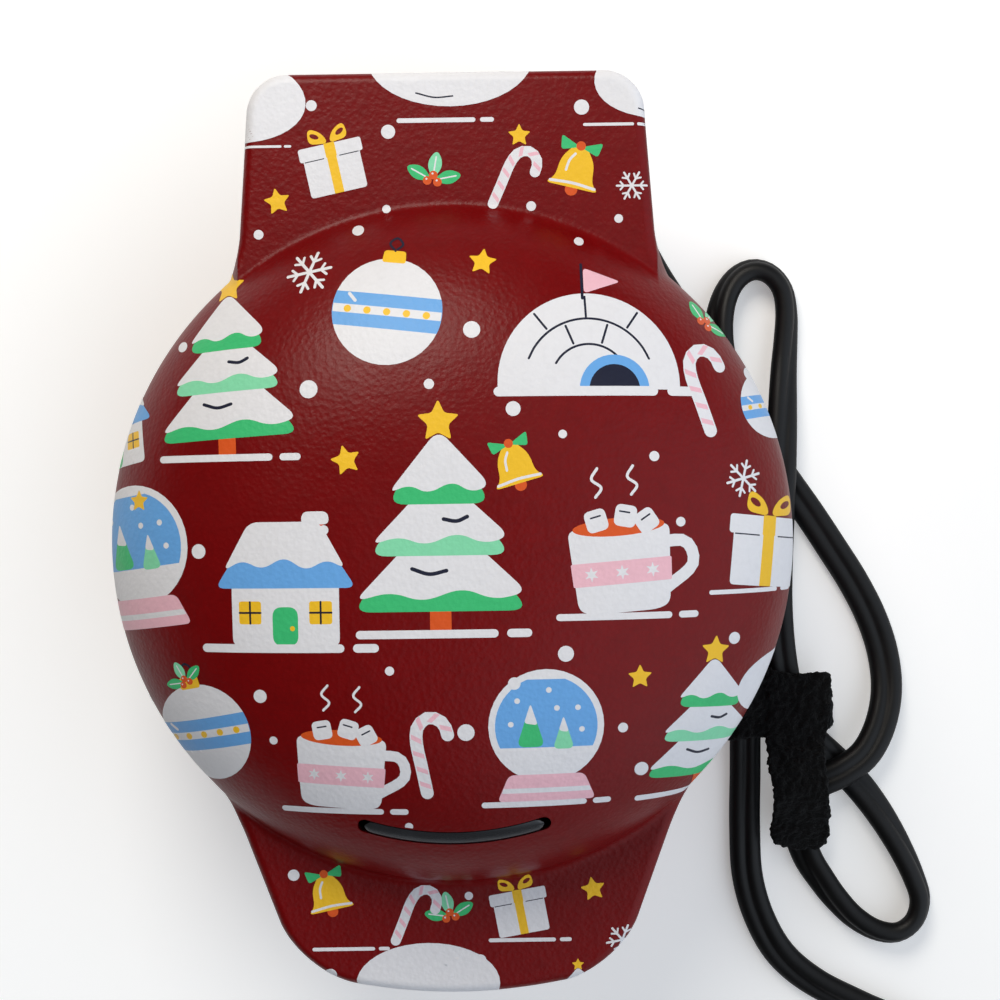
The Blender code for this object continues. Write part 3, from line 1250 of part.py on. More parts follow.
def main():
    red = finish("red_plastic", RED, 0.42)
    coated = finish("plate_coating", (0.030, 0.030, 0.032), 0.38, 0.2)
    steel = finish("heater_steel", (0.30, 0.29, 0.27), 0.35, 1.0)
    tin = finish("shield_tin", (0.62, 0.62, 0.60), 0.30, 1.0)
    bright = finish("screw_steel", (0.55, 0.55, 0.54), 0.30, 1.0)
    brass = finish("blade_brass", (0.72, 0.60, 0.34), 0.28, 1.0)
    black = finish("black_vinyl", BLACK, 0.45)
    rubber = finish("foot_rubber", (0.020, 0.020, 0.021), 0.70)
    grey = finish("window_grey", (0.060, 0.065, 0.070), 0.25)
    glass = finish("lamp_glass", (0.80, 0.42, 0.18), 0.15)
    brown = finish("holder_resin", (0.10, 0.045, 0.020), 0.50)
    cream = finish("lead_cover", (0.70, 0.66, 0.55), 0.60)
    fabric = finish("tie_fabric", (0.008, 0.008, 0.009), 0.95)

    whole = frame_empty("waffle maker", (0, LENGTH_CENTRE_Y, 0))
    swing = frame_empty("lid on its hinge", (0, HINGE_AXIS_Y, HINGE_AXIS_HEIGHT), parent=whole)
    lid = frame_empty("lid about the dome", (0, -HINGE_AXIS_Y, -HINGE_AXIS_HEIGHT), parent=swing)
    upper = frame_empty("upper half", (0, 0, PARTING_HEIGHT), (0, math.pi, 0), lid)
    lower = frame_empty("lower half", (0, 0, PARTING_HEIGHT), parent=whole)

    lid_housing(lid, red)
    seat = lid_deck(lid, red)
    indicator_window(lid, grey)
    cooking_half("upper", upper, coated, steel, tin, bright)
    thermostat(upper, steel)
    indicator_lamp(lid, glass, brown)
    for number, (x, y) in enumerate(LID_SCREW_PLACES, 1):
        screw(f"lid_screw_{number}", SCREW_LENGTH, lid, bright, (x, y, seat - SEAT_GAP))

    shelf = base_housing(whole, red)
    base_deck(whole, red)
    hinge_rod(whole, bright)
    terminal = cooking_half("lower", lower, coated, steel, tin, bright)
    thermal_fuse(lower, tin)
    height = terminal_block(whole, cream)
    leads(whole, cream, height, terminal)
    for number, (x, y) in enumerate(BASE_SCREW_PLACES, 1):
        screw(f"base_screw_{number}", SCREW_LENGTH, whole, bright, (x, y, shelf - WELL_SHELF - SEAT_GAP))
    for number, (x, y) in enumerate(FOOT_PLACES, 1):
        rubber_foot(number, whole, rubber, x, y)

    strain_relief(whole, black)
    power_cord(whole, black)
    cord_tie(whole, fabric)
    plug(whole, black, brass)


main()
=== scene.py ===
import math

import bmesh
import bpy
import numpy as np
from bpy.props import FloatProperty, FloatVectorProperty, IntProperty, PointerProperty
from bpy.types import Operator, Panel, PropertyGroup
from mathutils import Matrix, Vector, noise
from mathutils.bvhtree import BVHTree
from mathutils.geometry import delaunay_2d_cdt


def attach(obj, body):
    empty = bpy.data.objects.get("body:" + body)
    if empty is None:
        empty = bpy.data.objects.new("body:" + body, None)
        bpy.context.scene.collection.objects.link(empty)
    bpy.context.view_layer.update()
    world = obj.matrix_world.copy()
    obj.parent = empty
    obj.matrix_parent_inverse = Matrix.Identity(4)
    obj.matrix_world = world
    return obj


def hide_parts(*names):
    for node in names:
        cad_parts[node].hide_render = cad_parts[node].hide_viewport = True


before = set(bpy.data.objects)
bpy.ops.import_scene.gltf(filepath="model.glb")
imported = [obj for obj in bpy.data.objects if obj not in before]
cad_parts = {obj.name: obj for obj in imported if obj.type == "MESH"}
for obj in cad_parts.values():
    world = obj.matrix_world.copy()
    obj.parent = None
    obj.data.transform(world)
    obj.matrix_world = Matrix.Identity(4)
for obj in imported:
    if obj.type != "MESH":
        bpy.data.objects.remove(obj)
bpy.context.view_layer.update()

bl_info = {
    "name": "Mini waffle maker",
    "version": (1, 0, 0),
    "blender": (4, 5, 0),
    "location": "3D View > Sidebar > Waffle maker",
    "description": "Builds the surfaces, finishes and stage of a mini waffle maker with a printed lid",
    "category": "Add Mesh",
}

# The casing's form about the dome's axis: lengths in metres, and the shares and powers of its curves
CASING_RADIUS = 0.0640
HINGE_REACH = 0.0861
HINGE_ROOT_Y = 0.0522
HINGE_ROOT_HALF_WIDTH = 0.0385
HINGE_TAPER = 0.0024
HINGE_CORNER = 0.0070
HINGE_FLARE = 0.0045
HANDLE_REACH = 0.0866
HANDLE_ROOT_Y = 0.0478
HANDLE_ROOT_HALF_WIDTH = 0.0427
HANDLE_TAPER = 0.0137
HANDLE_CORNER = 0.010
HANDLE_BOW = 0.0045
HANDLE_FLARE = 0.0045
WALL = 0.0022
LID_RIM = 0.0423
BASE_RIM = 0.0417
LID_SIDE = 0.009
DOME_HEIGHT = 0.030
DOME_ROUND = 3.0
DOME_SHOULDER = 0.6
HINGE_TOP = 0.018
HANDLE_ROOT_TOP = 0.0092
HANDLE_TIP_TOP = 0.0046
HANDLE_SEAM = 0.004
HINGE_SEAM = 0.002
EDGE_ROUND = 0.002
SKIRT_SLOPE = 3.0
BASE_UNDERSIDE = 0.005
BASE_FLOOR = BASE_UNDERSIDE + WALL
BOWL_FLOOR_RADIUS = 0.049
BOWL_POWER = 2.4
BOWL_HEEL = 0.002
PILLAR_REACH = 0.0696
PILLAR_LEAN = 0.0134
PILLAR_LEAN_POWER = 1.5
PILLAR_HALF_WIDTH = 0.029
PILLAR_SPREAD = 0.7
LIP_REACH = 0.0846
LIP_THICKNESS = 0.009
LIP_DROP = 0.0046
LIP_DROP_START = 0.0654
LIP_DROP_RUN = 0.008
LIP_CURVE = 0.45
HINGE_AXIS_Y = 0.0741
HINGE_AXIS_HEIGHT = 0.036
ROLL_RADIUS = 0.0059
CORD_EXIT_HEIGHT = 0.0135
SEAT = 0.0003
SCREW_CIRCLE = 0.0572
# The light pipe's bend and length, and half the width of its slot
WINDOW_CIRCLE = 0.0530
WINDOW_CHORD = 0.032
SLOT_HALF_WIDTH = 0.0013
# How far the dome's axis lies behind the object's origin
CENTRE_Y = 0.00025


# Sizes and colours that can be changed in the sidebar

def length_property(name, description, default):
    return FloatProperty(name=name, description=description, default=default, unit="LENGTH", precision=5)


class WaffleSizes(PropertyGroup):
    ring_points: IntProperty(
        name="Ring points", description="Points round each ring of the casing", default=560, min=64, max=2000
    )
    grain_size: length_property("Grain size", "Distance between the moulded skin's grains", 0.0009)
    print_height: length_property("Print height", "How far the printed film stands over the skin", 0.00004)
    print_step: FloatProperty(
        name="Print step", description="Distance between the film's points, in millimetres", default=0.75
    )
    stud_edge: length_property("Stud edge", "Rounding of the cooking studs' edges", 0.0009)
    cord_width: length_property("Cord width", "Width of the flat twin cord", 0.0066)
    cord_thickness: length_property("Cord thickness", "Thickness of the flat twin cord", 0.0040)
    lamp_power: FloatProperty(
        name="Lamp power", description="Power of the soft lamp behind on the left", default=2.5, unit="POWER"
    )


def colour_property(name, description, default):
    return FloatVectorProperty(
        name=name, description=description, default=default, size=3, subtype="COLOR", min=0.0, max=1.0
    )


class WaffleColours(PropertyGroup):
    crimson: colour_property("Crimson", "Moulded casing", (0.170, 0.0012, 0.0019))
    white: colour_property("White ink", "Snow, dots and ground lines", (0.82, 0.81, 0.84))
    green: colour_property("Green ink", "Print", (0.050, 0.54, 0.19))
    mint: colour_property("Mint ink", "Print", (0.25, 0.74, 0.44))
    yellow: colour_property("Yellow ink", "Print", (0.95, 0.56, 0.025))
    blue: colour_property("Blue ink", "Print", (0.15, 0.41, 0.82))
    pink: colour_property("Pink ink", "Print", (0.90, 0.52, 0.60))
    orange: colour_property("Orange ink", "Print", (0.74, 0.10, 0.015))
    navy: colour_property("Navy ink", "Print", (0.012, 0.014, 0.035))
    smoke: colour_property("Smoke", "Light pipe over the indicator lamp", (0.020, 0.021, 0.024))
    vinyl: colour_property("Vinyl", "Cord, its boot and its plug", (0.0045, 0.0045, 0.0050))
    strap: colour_property("Strap", "Hook-and-loop tie", (0.0018, 0.0018, 0.0020))
    coating: colour_property("Coating", "Nonstick coat of the plates", (0.022, 0.022, 0.024))
    floor: colour_property("Floor", "Table top", (0.90, 0.90, 0.90))


# The casing's form

def smooth_min(first, second, blend):
    overlap = np.maximum(blend - np.abs(first - second), 0) / blend
    return np.minimum(first, second) - overlap * overlap * blend / 4


def smooth_max(first, second, blend):
    return -smooth_min(-first, -second, blend)


def tapered_block(x, y, root_y, reach, root_half, taper, corner, bow=0.0):
    """Distance outside a block that runs back from the casing, narrows and ends in round corners."""
    share = np.clip((y - root_y) / (reach - root_y), 0, 1)
    half = root_half - taper * share
    across = np.abs(x) - half + corner
    along = y - reach + bow * (x / half) ** 2 + corner
    outside = np.hypot(np.maximum(across, 0), np.maximum(along, 0))
    return np.maximum(outside + np.minimum(np.maximum(across, along), 0) - corner, -y)


def hinge_block(x, y, reach=HINGE_REACH, half=HINGE_ROOT_HALF_WIDTH):
    return tapered_block(x, y, HINGE_ROOT_Y, reach, half, HINGE_TAPER, HINGE_CORNER)


def handle_block(x, y, reach=HANDLE_REACH):
    block = (HANDLE_ROOT_Y, reach, HANDLE_ROOT_HALF_WIDTH, HANDLE_TAPER, HANDLE_CORNER, HANDLE_BOW)
    return tapered_block(x, -y, *block)


def body_plan(x, y, radius=CASING_RADIUS, reach=HINGE_REACH, half=HINGE_ROOT_HALF_WIDTH):
    return smooth_min(np.hypot(x, y) - radius, hinge_block(x, y, reach, half), HINGE_FLARE)


def lid_plan(x, y):
    return smooth_min(body_plan(x, y), handle_block(x, y), HANDLE_FLARE)


def crossings(plan, angles, inset=0.0):
    """Where rays from the dome's axis cross the plan's outline, moved in by inset."""
    near = np.zeros(len(angles))
    far = np.full(len(angles), 0.150)
    for _ in range(30):
        middle = (near + far) / 2
        inside = plan(middle * np.cos(angles), middle * np.sin(angles)) < -inset
        near = np.where(inside, middle, near)
        far = np.where(inside, far, middle)
    return far


def lid_height(x, y, plan=lid_plan, inset=0.0):
    """Height of the lid's top: the dome, the flat hinge block and the sloping handle, run together."""
    radius = CASING_RADIUS - inset
    from_axis = np.hypot(x, y)
    share = np.clip(from_axis / radius, 0, 1)
    dome = LID_SIDE + (DOME_HEIGHT - inset) * (1 - share**DOME_ROUND) ** DOME_SHOULDER
    dome = dome - SKIRT_SLOPE * np.maximum(from_axis - radius, 0)
    block = HINGE_TOP - inset - SKIRT_SLOPE * np.maximum(hinge_block(x, y) + inset, 0)
    height = smooth_max(dome, block, HINGE_SEAM)
    if plan is lid_plan:
        along = np.clip((-y - HANDLE_ROOT_Y) / (HANDLE_REACH - HANDLE_ROOT_Y), 0, 1)
        handle = HANDLE_ROOT_TOP + (HANDLE_TIP_TOP - HANDLE_ROOT_TOP) * along
        handle = handle - SKIRT_SLOPE * np.maximum(handle_block(x, y), 0)
        height = smooth_max(height, handle, HANDLE_SEAM)
    depth = np.clip(-plan(x, y) - inset, 0, EDGE_ROUND)
    return LID_RIM + height - (EDGE_ROUND - np.sqrt(EDGE_ROUND**2 - (EDGE_ROUND - depth) ** 2))


def even_angles(count):
    """Angles for every ring, spread by the lid outline's length and turning: 9 mm weigh as much as 16 degrees."""
    angles = np.linspace(0, math.tau, 4000, endpoint=False) - math.pi / 2
    reach = crossings(lid_plan, angles)
    x, y = reach * np.cos(angles), reach * np.sin(angles)
    run_x, run_y = np.roll(x, -1) - x, np.roll(y, -1) - y
    heading = np.arctan2(run_y, run_x)
    turn = np.abs((heading - np.roll(heading, 1) + math.pi) % math.tau - math.pi)
    weight = np.hypot(run_x, run_y) / 0.009 + turn / math.radians(16)
    total = np.concatenate([[0], np.cumsum(weight)])
    return np.interp(np.arange(count) * total[-1] / count, total, np.append(angles, angles[0] + math.tau))


def ring(angles, reach, height):
    """One ring of points about the dome's axis."""
    return np.column_stack([reach * np.cos(angles), reach * np.sin(angles), np.broadcast_to(height, angles.shape)])


def base_share(height):
    return (height - BASE_UNDERSIDE) / (BASE_RIM - BASE_UNDERSIDE)


def lip_weight(height):
    return min(max((height - BASE_RIM + LIP_THICKNESS) / LIP_THICKNESS, 0), 1)


def base_reach(angles, height, inset=0.0, lip=False):
    """How far the base reaches at a height: its bowl, its rear pillar with the hinge roll, and its lip."""
    share = base_share(height)
    radius = BOWL_FLOOR_RADIUS + (CASING_RADIUS - BOWL_FLOOR_RADIUS) * (1 - (1 - share) ** BOWL_POWER)
    reach = min(PILLAR_REACH + PILLAR_LEAN * share**PILLAR_LEAN_POWER, HINGE_AXIS_Y + ROLL_RADIUS)
    above_axis = max(height - HINGE_AXIS_HEIGHT, 0)
    reach = min(reach, HINGE_AXIS_Y + math.sqrt(ROLL_RADIUS**2 - above_axis**2))
    half = PILLAR_HALF_WIDTH + (HINGE_ROOT_HALF_WIDTH - PILLAR_HALF_WIDTH) * share**PILLAR_SPREAD
    lip_share = lip_weight(height)
    lip_reach = HANDLE_ROOT_Y + (LIP_REACH - HANDLE_ROOT_Y) * lip_share**LIP_CURVE

    def plan(x, y):
        field = body_plan(x, y, radius, reach, half)
        if lip and lip_share > 0:
            field = smooth_min(field, handle_block(x, y, lip_reach), HANDLE_FLARE)
        return field

    return crossings(plan, angles, inset)


def dropped(angles, reach, height):
    """Heights along a ring, which fall towards the lip's tip so that fingers get under the lid's handle."""
    run = np.clip((-reach * np.sin(angles) - LIP_DROP_START) / LIP_DROP_RUN, 0, 1)
    return height - LIP_DROP * lip_weight(height) * run * run * (3 - 2 * run)


def polar(radius, degrees):
    return radius * math.cos(math.radians(degrees)), radius * math.sin(math.radians(degrees))


# Screw and foot places about the dome's axis, and the angles of the plates' ears
LID_SCREWS = [(-0.027, 0.0646), (0.027, 0.0646), polar(SCREW_CIRCLE, -125), polar(SCREW_CIRCLE, -55)]
BASE_SCREWS = [polar(SCREW_CIRCLE, angle) for angle in (133, 47, -125, -55)]
FEET = [polar(0.0439, -133), polar(0.0439, -47), (-0.021, 0.0601), (0.021, 0.0601)]
EARS = (90, 210, 330)
EAR_CIRCLE = 0.0574


# Meshes

def loft(rings, first_tip=None, last_tip=None):
    """Vertices and faces of a skin over closed rings of equal length; a tip closes its end with a fan."""
    count = len(rings[0])
    vertices = np.vstack(rings)
    around = np.arange(count)
    following = (around + 1) % count
    faces = []
    for row in range(len(rings) - 1):
        low, high = row * count, (row + 1) * count
        faces += np.column_stack([low + around, low + following, high + following, high + around]).tolist()
    for tip, start in ((first_tip, 0), (last_tip, (len(rings) - 1) * count)):
        if tip is not None:
            vertices = np.vstack([vertices, tip])
            apex = np.full(count, len(vertices) - 1)
            faces += np.column_stack([start + around, start + following, apex]).tolist()
    return vertices, faces


def shifted(vertices):
    """Points about the dome's axis, moved to the object's frame."""
    return np.asarray(vertices, float) + (0, CENTRE_Y, 0)


def new_object(name, mesh, *materials):
    obj = bpy.data.objects.new(name, mesh)
    bpy.context.scene.collection.objects.link(obj)
    for material in materials:
        mesh.materials.append(material)
    return obj


def tidy_mesh(mesh, sharp_angle=None):
    """Merges doubled points, turns the faces outwards, and smooths all edges but the sharp ones."""
    bm = bmesh.new()
    bm.from_mesh(mesh)
    bmesh.ops.remove_doubles(bm, verts=bm.verts, dist=1e-7)
    bmesh.ops.recalc_face_normals(bm, faces=bm.faces)
    for face in bm.faces:
        face.smooth = True
    if sharp_angle is not None:
        limit = math.radians(sharp_angle)
        for edge in bm.edges:
            edge.smooth = len(edge.link_faces) == 2 and edge.calc_face_angle(0) < limit
    bm.to_mesh(mesh)
    bm.free()


def mesh_piece(name, vertices, faces, *materials, sharp_angle=38.0):
    mesh = bpy.data.meshes.new(name)
    mesh.from_pydata(shifted(vertices).tolist(), [], faces)
    tidy_mesh(mesh, sharp_angle)
    return new_object(name, mesh, *materials)


def turned_points(profile, steps, centre=(0, 0, 0)):
    """A profile of radius and height pairs turned about an upright axis, as vertices and faces."""
    angles = np.linspace(0, math.tau, steps, endpoint=False)
    rings = [np.array(centre) + ring(angles, radius, height) for radius, height in profile if radius > 0]
    first = np.array(centre) + (0, 0, profile[0][1]) if profile[0][0] == 0 else None
    last = np.array(centre) + (0, 0, profile[-1][1]) if profile[-1][0] == 0 else None
    return loft(rings, first, last)


def peg(radius, low, high, steps, centre=(0, 0, 0)):
    """An upright cylinder, as vertices and faces."""
    return turned_points(((0, low), (radius, low), (radius, high), (0, high)), steps, centre)


def prism(outline, low, high):
    """An upright straight-sided solid over an outline of x and y pairs, as vertices and faces."""
    outline = np.array(outline)
    count = len(outline)
    vertices = np.vstack([np.column_stack([outline, np.full(count, height)]) for height in (low, high)])
    around = np.arange(count)
    following = (around + 1) % count
    faces = np.column_stack([around, following, count + following, count + around]).tolist()
    return vertices, faces + [around[::-1].tolist(), (count + around).tolist()]


def joined(parts):
    """Several sets of vertices and faces as one."""
    vertices, faces = [], []
    for points, part_faces in parts:
        start = len(vertices)
        vertices += np.asarray(points).tolist()
        faces += [[start + index for index in face] for face in part_faces]
    return vertices, faces


def taken(piece):
    """A scratch piece's vertices about the dome's axis and its faces; the piece itself goes."""
    points = [tuple(vertex.co - Vector((0, CENTRE_Y, 0))) for vertex in piece.data.vertices]
    faces = [list(face.vertices) for face in piece.data.polygons]
    bpy.data.objects.remove(piece)
    return points, faces


def cut_from(target, parts, operation="DIFFERENCE"):
    """Takes closed solids, given as vertices and faces, away from a piece in one step, or adds them."""
    vertices, faces = joined(parts)
    tool = mesh_piece(f"{target.name} tool", vertices, faces)
    modifier = target.modifiers.new("cut", "BOOLEAN")
    modifier.solver = "EXACT"
    modifier.operation = operation
    modifier.object = tool
    modifier.use_self = operation == "UNION"
    apply_modifiers(target)
    bpy.data.objects.remove(tool)


def apply_modifiers(obj):
    depsgraph = bpy.context.evaluated_depsgraph_get()
    depsgraph.update()
    mesh = bpy.data.meshes.new_from_object(obj.evaluated_get(depsgraph))
    obj.modifiers.clear()
    old = obj.data
    obj.data = mesh
    bpy.data.meshes.remove(old)
    mesh.name = obj.name


def arc(radius, start, end, steps, centre=(0, 0)):
    """Points on an arc, angles in degrees."""
    turns = np.radians(np.linspace(start, end, steps + 1))
    return [(centre[0] + radius * math.cos(turn), centre[1] + radius * math.sin(turn)) for turn in turns]


def round_box(half_x, half_y, corner, steps):
    """Outline of a box about the origin with round corners."""
    outline = []
    for turn, (x, y) in ((0, (1, 1)), (90, (-1, 1)), (180, (-1, -1)), (270, (1, -1))):
        outline += arc(corner, turn, turn + 90, steps, (x * (half_x - corner), y * (half_y - corner)))
    return outline


def spun(outline, degrees):
    """An outline turned about the dome's axis."""
    return [polar(math.hypot(x, y), degrees + math.degrees(math.atan2(y, x))) for x, y in outline]


def dress(piece, body, slot, *nodes):
    """Puts a piece on its body in the place of CAD nodes; the slot argument is not used."""
    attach(piece, body)
    if nodes:
        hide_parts(*nodes)
    return piece


# Finishes

class Value:
    """A shader socket in an expression: each operator adds its Math node, and numbers stay in Python."""

    def __init__(self, finish, socket):
        self.finish = finish
        self.socket = socket

    def math(self, operation, *operands):
        return self.finish.node("ShaderNodeMath", {"operation": operation}, dict(enumerate(operands)))

    def __add__(self, other):
        return self.math("ADD", self, other)

    __radd__ = __add__

    def __sub__(self, other):
        return self.math("SUBTRACT", self, other)

    def __rsub__(self, other):
        return self.math("SUBTRACT", other, self)

    def __mul__(self, other):
        return self.math("MULTIPLY", self, other)

    __rmul__ = __mul__

    def __truediv__(self, other):
        return self.math("DIVIDE", self, other)

    def __abs__(self):
        return self.math("ABSOLUTE", self)

    def __gt__(self, other):
        return self.math("GREATER_THAN", self, other)

    def __lt__(self, other):
        return self.math("LESS_THAN", self, other)

    def clamped(self):
        return self.finish.node("ShaderNodeClamp", {}, {"Value": self})


class Nodes:
    """A node tree whose nodes all come from one method."""

    def __init__(self, tree):
        self.tree = tree

    def found(self, kind):
        return next(node for node in self.tree.nodes if node.type == kind)

    def feed(self, node, inputs):
        for key, value in inputs.items():
            if isinstance(value, Value):
                self.tree.links.new(value.socket, node.inputs[key])
            elif hasattr(value, "__len__") and len(value) == 3 and node.inputs[key].type == "RGBA":
                node.inputs[key].default_value = (*value, 1.0)
            else:
                node.inputs[key].default_value = value

    def node(self, kind, settings, inputs, output=0):
        """A node of that kind: its settings first, a ramp's stops among them, then its sockets."""
        made = self.tree.nodes.new(kind)
        for key, value in settings.items():
            if key == "stops":
                ramp = made.color_ramp
                while len(ramp.elements) > 1:
                    ramp.elements.remove(ramp.elements[-1])
                for number, (place, colour) in enumerate(value):
                    stop = ramp.elements[0] if number == 0 else ramp.elements.new(place)
                    stop.position = place
                    stop.color = (*colour, 1.0)
            else:
                setattr(made, key, value)
        self.feed(made, inputs)
        return Value(self, made.outputs[output])


class Finish(Nodes):
    """A material with its Principled shader."""

    def __init__(self, name, colour, roughness, metallic=0.0, **fixed):
        self.material = bpy.data.materials.new(name)
        self.material.use_nodes = True
        super().__init__(self.material.node_tree)
        self.shader = self.found("BSDF_PRINCIPLED")
        self.feed(self.shader, {"Base Color": colour, "Roughness": roughness, "Metallic": metallic})
        self.wear(**fixed)
        # The piece's own coordinates, in metres
        self.places = self.node("ShaderNodeTexCoord", {}, {}, "Object")

    def wear(self, **inputs):
        """Feeds the shader's own sockets, named in lower case with underscores."""
        names = {socket.name.lower().replace(" ", "_"): socket.name for socket in self.shader.inputs}
        self.feed(self.shader, {names[key]: value for key, value in inputs.items()})
        return self.material

    def worn(self, colour, roughness, normal):
        return self.wear(base_color=colour, roughness=roughness, normal=normal)

    def axes(self):
        return [self.node("ShaderNodeSeparateXYZ", {}, {0: self.places}, axis) for axis in range(3)]

    def noise(self, size, detail=2.0, roughness=0.5, distortion=0.0, stretch=None):
        """Soft noise between 0 and 1 whose patches measure about that size, drawn out along the axes if asked."""
        places = self.places
        if stretch:
            places = self.node("ShaderNodeVectorMath", {"operation": "MULTIPLY"}, {0: places, 1: stretch})
        inputs = {"Vector": places, "Scale": 1 / size, "Detail": detail, "Roughness": roughness}
        return self.node("ShaderNodeTexNoise", {}, {**inputs, "Distortion": distortion})

    def cells(self, size, feature="F1", smoothness=None):
        inputs = {"Vector": self.places, "Scale": 1 / size}
        if smoothness is not None:
            inputs["Smoothness"] = smoothness
        return self.node("ShaderNodeTexVoronoi", {"feature": feature}, inputs)

    def ramp(self, factor, *stops):
        return self.node("ShaderNodeValToRGB", {"stops": stops}, {"Fac": factor})

    def mix(self, factor, first, second):
        """Two colours mixed; a Mix node's colour sockets are numbers 6 and 7 in and 2 out."""
        return self.node("ShaderNodeMix", {"data_type": "RGBA"}, {0: factor, 6: first, 7: second}, 2)

    def between(self, value, low, high):
        """The value's 0 to 1 spread over low to high."""
        return self.node("ShaderNodeMapRange", {}, {"Value": value, "To Min": low, "To Max": high})

    def bump(self, height, depth, strength=1.0, under=None):
        inputs = {"Height": height, "Distance": depth, "Strength": strength}
        if under is not None:
            inputs["Normal"] = under
        return self.node("ShaderNodeBump", {}, inputs)


def toned(colour, share):
    """A colour lightened or darkened by a share."""
    return tuple(min(channel * share, 1.0) for channel in colour)


def moulded_grain(finish, size):
    """The fine pebbled grain of the casing's mould, with the slow waviness of a moulded skin."""
    pebbles = finish.cells(size, "SMOOTH_F1", 0.6)
    fine = finish.noise(size * 0.45, 2.0)
    slow = finish.noise(0.011, 1.0)
    low = finish.bump(slow, 0.00016, 0.6)
    return finish.bump(pebbles * 0.8 + fine * 0.45, 0.00013, 0.55, low), pebbles, slow


def casing_finish(name, colour, sizes):
    finish = Finish(name, colour, 0.36, specular_ior_level=0.20)
    normal, pebbles, slow = moulded_grain(finish, sizes.grain_size)
    mottle = finish.noise(0.0032, 3.0, 0.6)
    tone = finish.mix(mottle, toned(colour, 0.86), toned(colour, 1.14))
    tone = finish.mix((pebbles - 0.35).clamped() * 0.5, tone, toned(colour, 0.72))
    scuffs = finish.noise(0.0011, stretch=(1, 0.12, 1))
    roughness = finish.between(slow, 0.30, 0.42) + (scuffs > 0.72) * 0.06
    return finish.worn(tone, roughness, normal)


def ink_finish(name, colour, sizes):
    """Printed ink on the moulded skin: the same grain, a slightly patchy cover and a dry surface."""
    finish = Finish(name, colour, 0.42, specular_ior_level=0.25)
    normal, pebbles, _ = moulded_grain(finish, sizes.grain_size)
    cover = finish.noise(0.0021, 3.0, 0.65)
    tone = finish.mix(cover, toned(colour, 0.95), toned(colour, 1.03))
    tone = finish.mix((pebbles - 0.5).clamped() * 0.30, tone, toned(colour, 0.75))
    return finish.worn(tone, finish.between(cover, 0.36, 0.50), normal)


def coating_finish(colour):
    finish = Finish("nonstick coating", colour, 0.34, 0.0, coat_weight=0.25, coat_roughness=0.25)
    specks = finish.cells(0.0007)
    cast = finish.noise(0.0004, 3.0, 0.6)
    bloom = finish.noise(0.021, 3.0, 0.55)
    tone = finish.mix((0.30 - specks).clamped() * 2.2, colour, toned(colour, 3.0))
    tone = finish.mix(finish.between(bloom, 0.0, 0.55), tone, toned(colour, 1.7))
    normal = finish.bump(cast + specks * 0.35, 0.00007, 0.5)
    return finish.worn(tone, finish.between(bloom, 0.24, 0.46), normal)


def steel_finish(name, colour, tint, roughness, lines=(1, 1, 1)):
    """Metal with faint drawing lines, clouded tone and small pits."""
    finish = Finish(name, colour, roughness, 1.0)
    cloud = finish.noise(0.006, 4.0, 0.6)
    drawn = finish.noise(0.0005, 3.0, 0.6, stretch=lines)
    pits = finish.cells(0.0011)
    tone = finish.mix(cloud, colour, tint)
    tone = finish.mix((0.14 - pits).clamped() * 2.5, tone, toned(colour, 0.45))
    normal = finish.bump(drawn, 0.00004, 0.45)
    rough = finish.between(cloud, roughness * 0.75, roughness * 1.35)
    return finish.worn(tone, rough, normal)


def heated_finish():
    """Sheathed steel tube, straw, brown and blue from its heat."""
    finish = Finish("heat-tinted steel", (0.30, 0.28, 0.25), 0.38, 1.0)
    heat = finish.noise(0.016, 3.0, 0.55, 0.6)
    stops = ((0.30, (0.33, 0.31, 0.28)), (0.46, (0.36, 0.26, 0.15)), (0.58, (0.20, 0.13, 0.12)))
    tone = finish.ramp(heat, *stops, (0.70, (0.13, 0.15, 0.21)))
    scale = finish.noise(0.0007, 3.0, 0.6)
    normal = finish.bump(scale, 0.00006, 0.5)
    return finish.worn(tone, finish.between(scale, 0.28, 0.55), normal)


def vinyl_finish(colour):
    """Moulded vinyl with a fine skin and slow smears, in which its shine varies."""
    roughness = 0.44
    finish = Finish("black vinyl", colour, roughness, specular_ior_level=0.26)
    skin = finish.noise(0.00035, 3.0, 0.6)
    smear = finish.noise(0.009, 3.0, 0.6)
    tone = finish.mix(smear, toned(colour, 0.75), toned(colour, 1.7))
    normal = finish.bump(skin, 0.00005, 0.5, finish.bump(smear, 0.0004, 0.3))
    rough = finish.between(smear, roughness - 0.09, roughness + 0.12)
    return finish.worn(tone, rough, normal)


def rubber_finish():
    """Dark rubber, worn pale where it meets the table."""
    colour = (0.018, 0.018, 0.019)
    finish = Finish("foot rubber", colour, 0.72)
    grain = finish.noise(0.0003, 3.0, 0.65)
    dust = finish.noise(0.0035, 4.0, 0.65)
    height = finish.axes()[2]
    rubbed = (1 - height / 0.0012).clamped() * finish.between(dust, 0.2, 0.9)
    tone = finish.mix(rubbed * 0.6, colour, (0.11, 0.105, 0.095))
    normal = finish.bump(grain, 0.00007, 0.6)
    return finish.worn(tone, finish.between(dust, 0.6, 0.85), normal)


def strap_finish(colour):
    """Hook-and-loop fabric: matted loops over a coarse knit, with painted shade low in the pile and painted
    highlights on its high loops.
    """
    finish = Finish("strap fabric", colour, 0.93, specular_ior_level=0.1, sheen_weight=0.06, sheen_roughness=0.55)
    loops = finish.cells(0.00042)
    curls = finish.noise(0.00022, 4.0, 0.75, 1.6)
    clumps = finish.noise(0.0016, 3.0, 0.6)
    pile = loops * 0.6 + curls * 0.7 + clumps * 0.8
    # Painted shade and highlight: the pile's low parts are darkened to half the colour, and its high loops are
    # lightened up to five times it.
    tone = finish.mix((pile - 0.75).clamped(), toned(colour, 0.5), toned(colour, 5.0))
    normal = finish.bump(pile, 0.00045, 1.0)
    return finish.worn(tone, finish.between(clumps, 0.85, 1.0), normal)


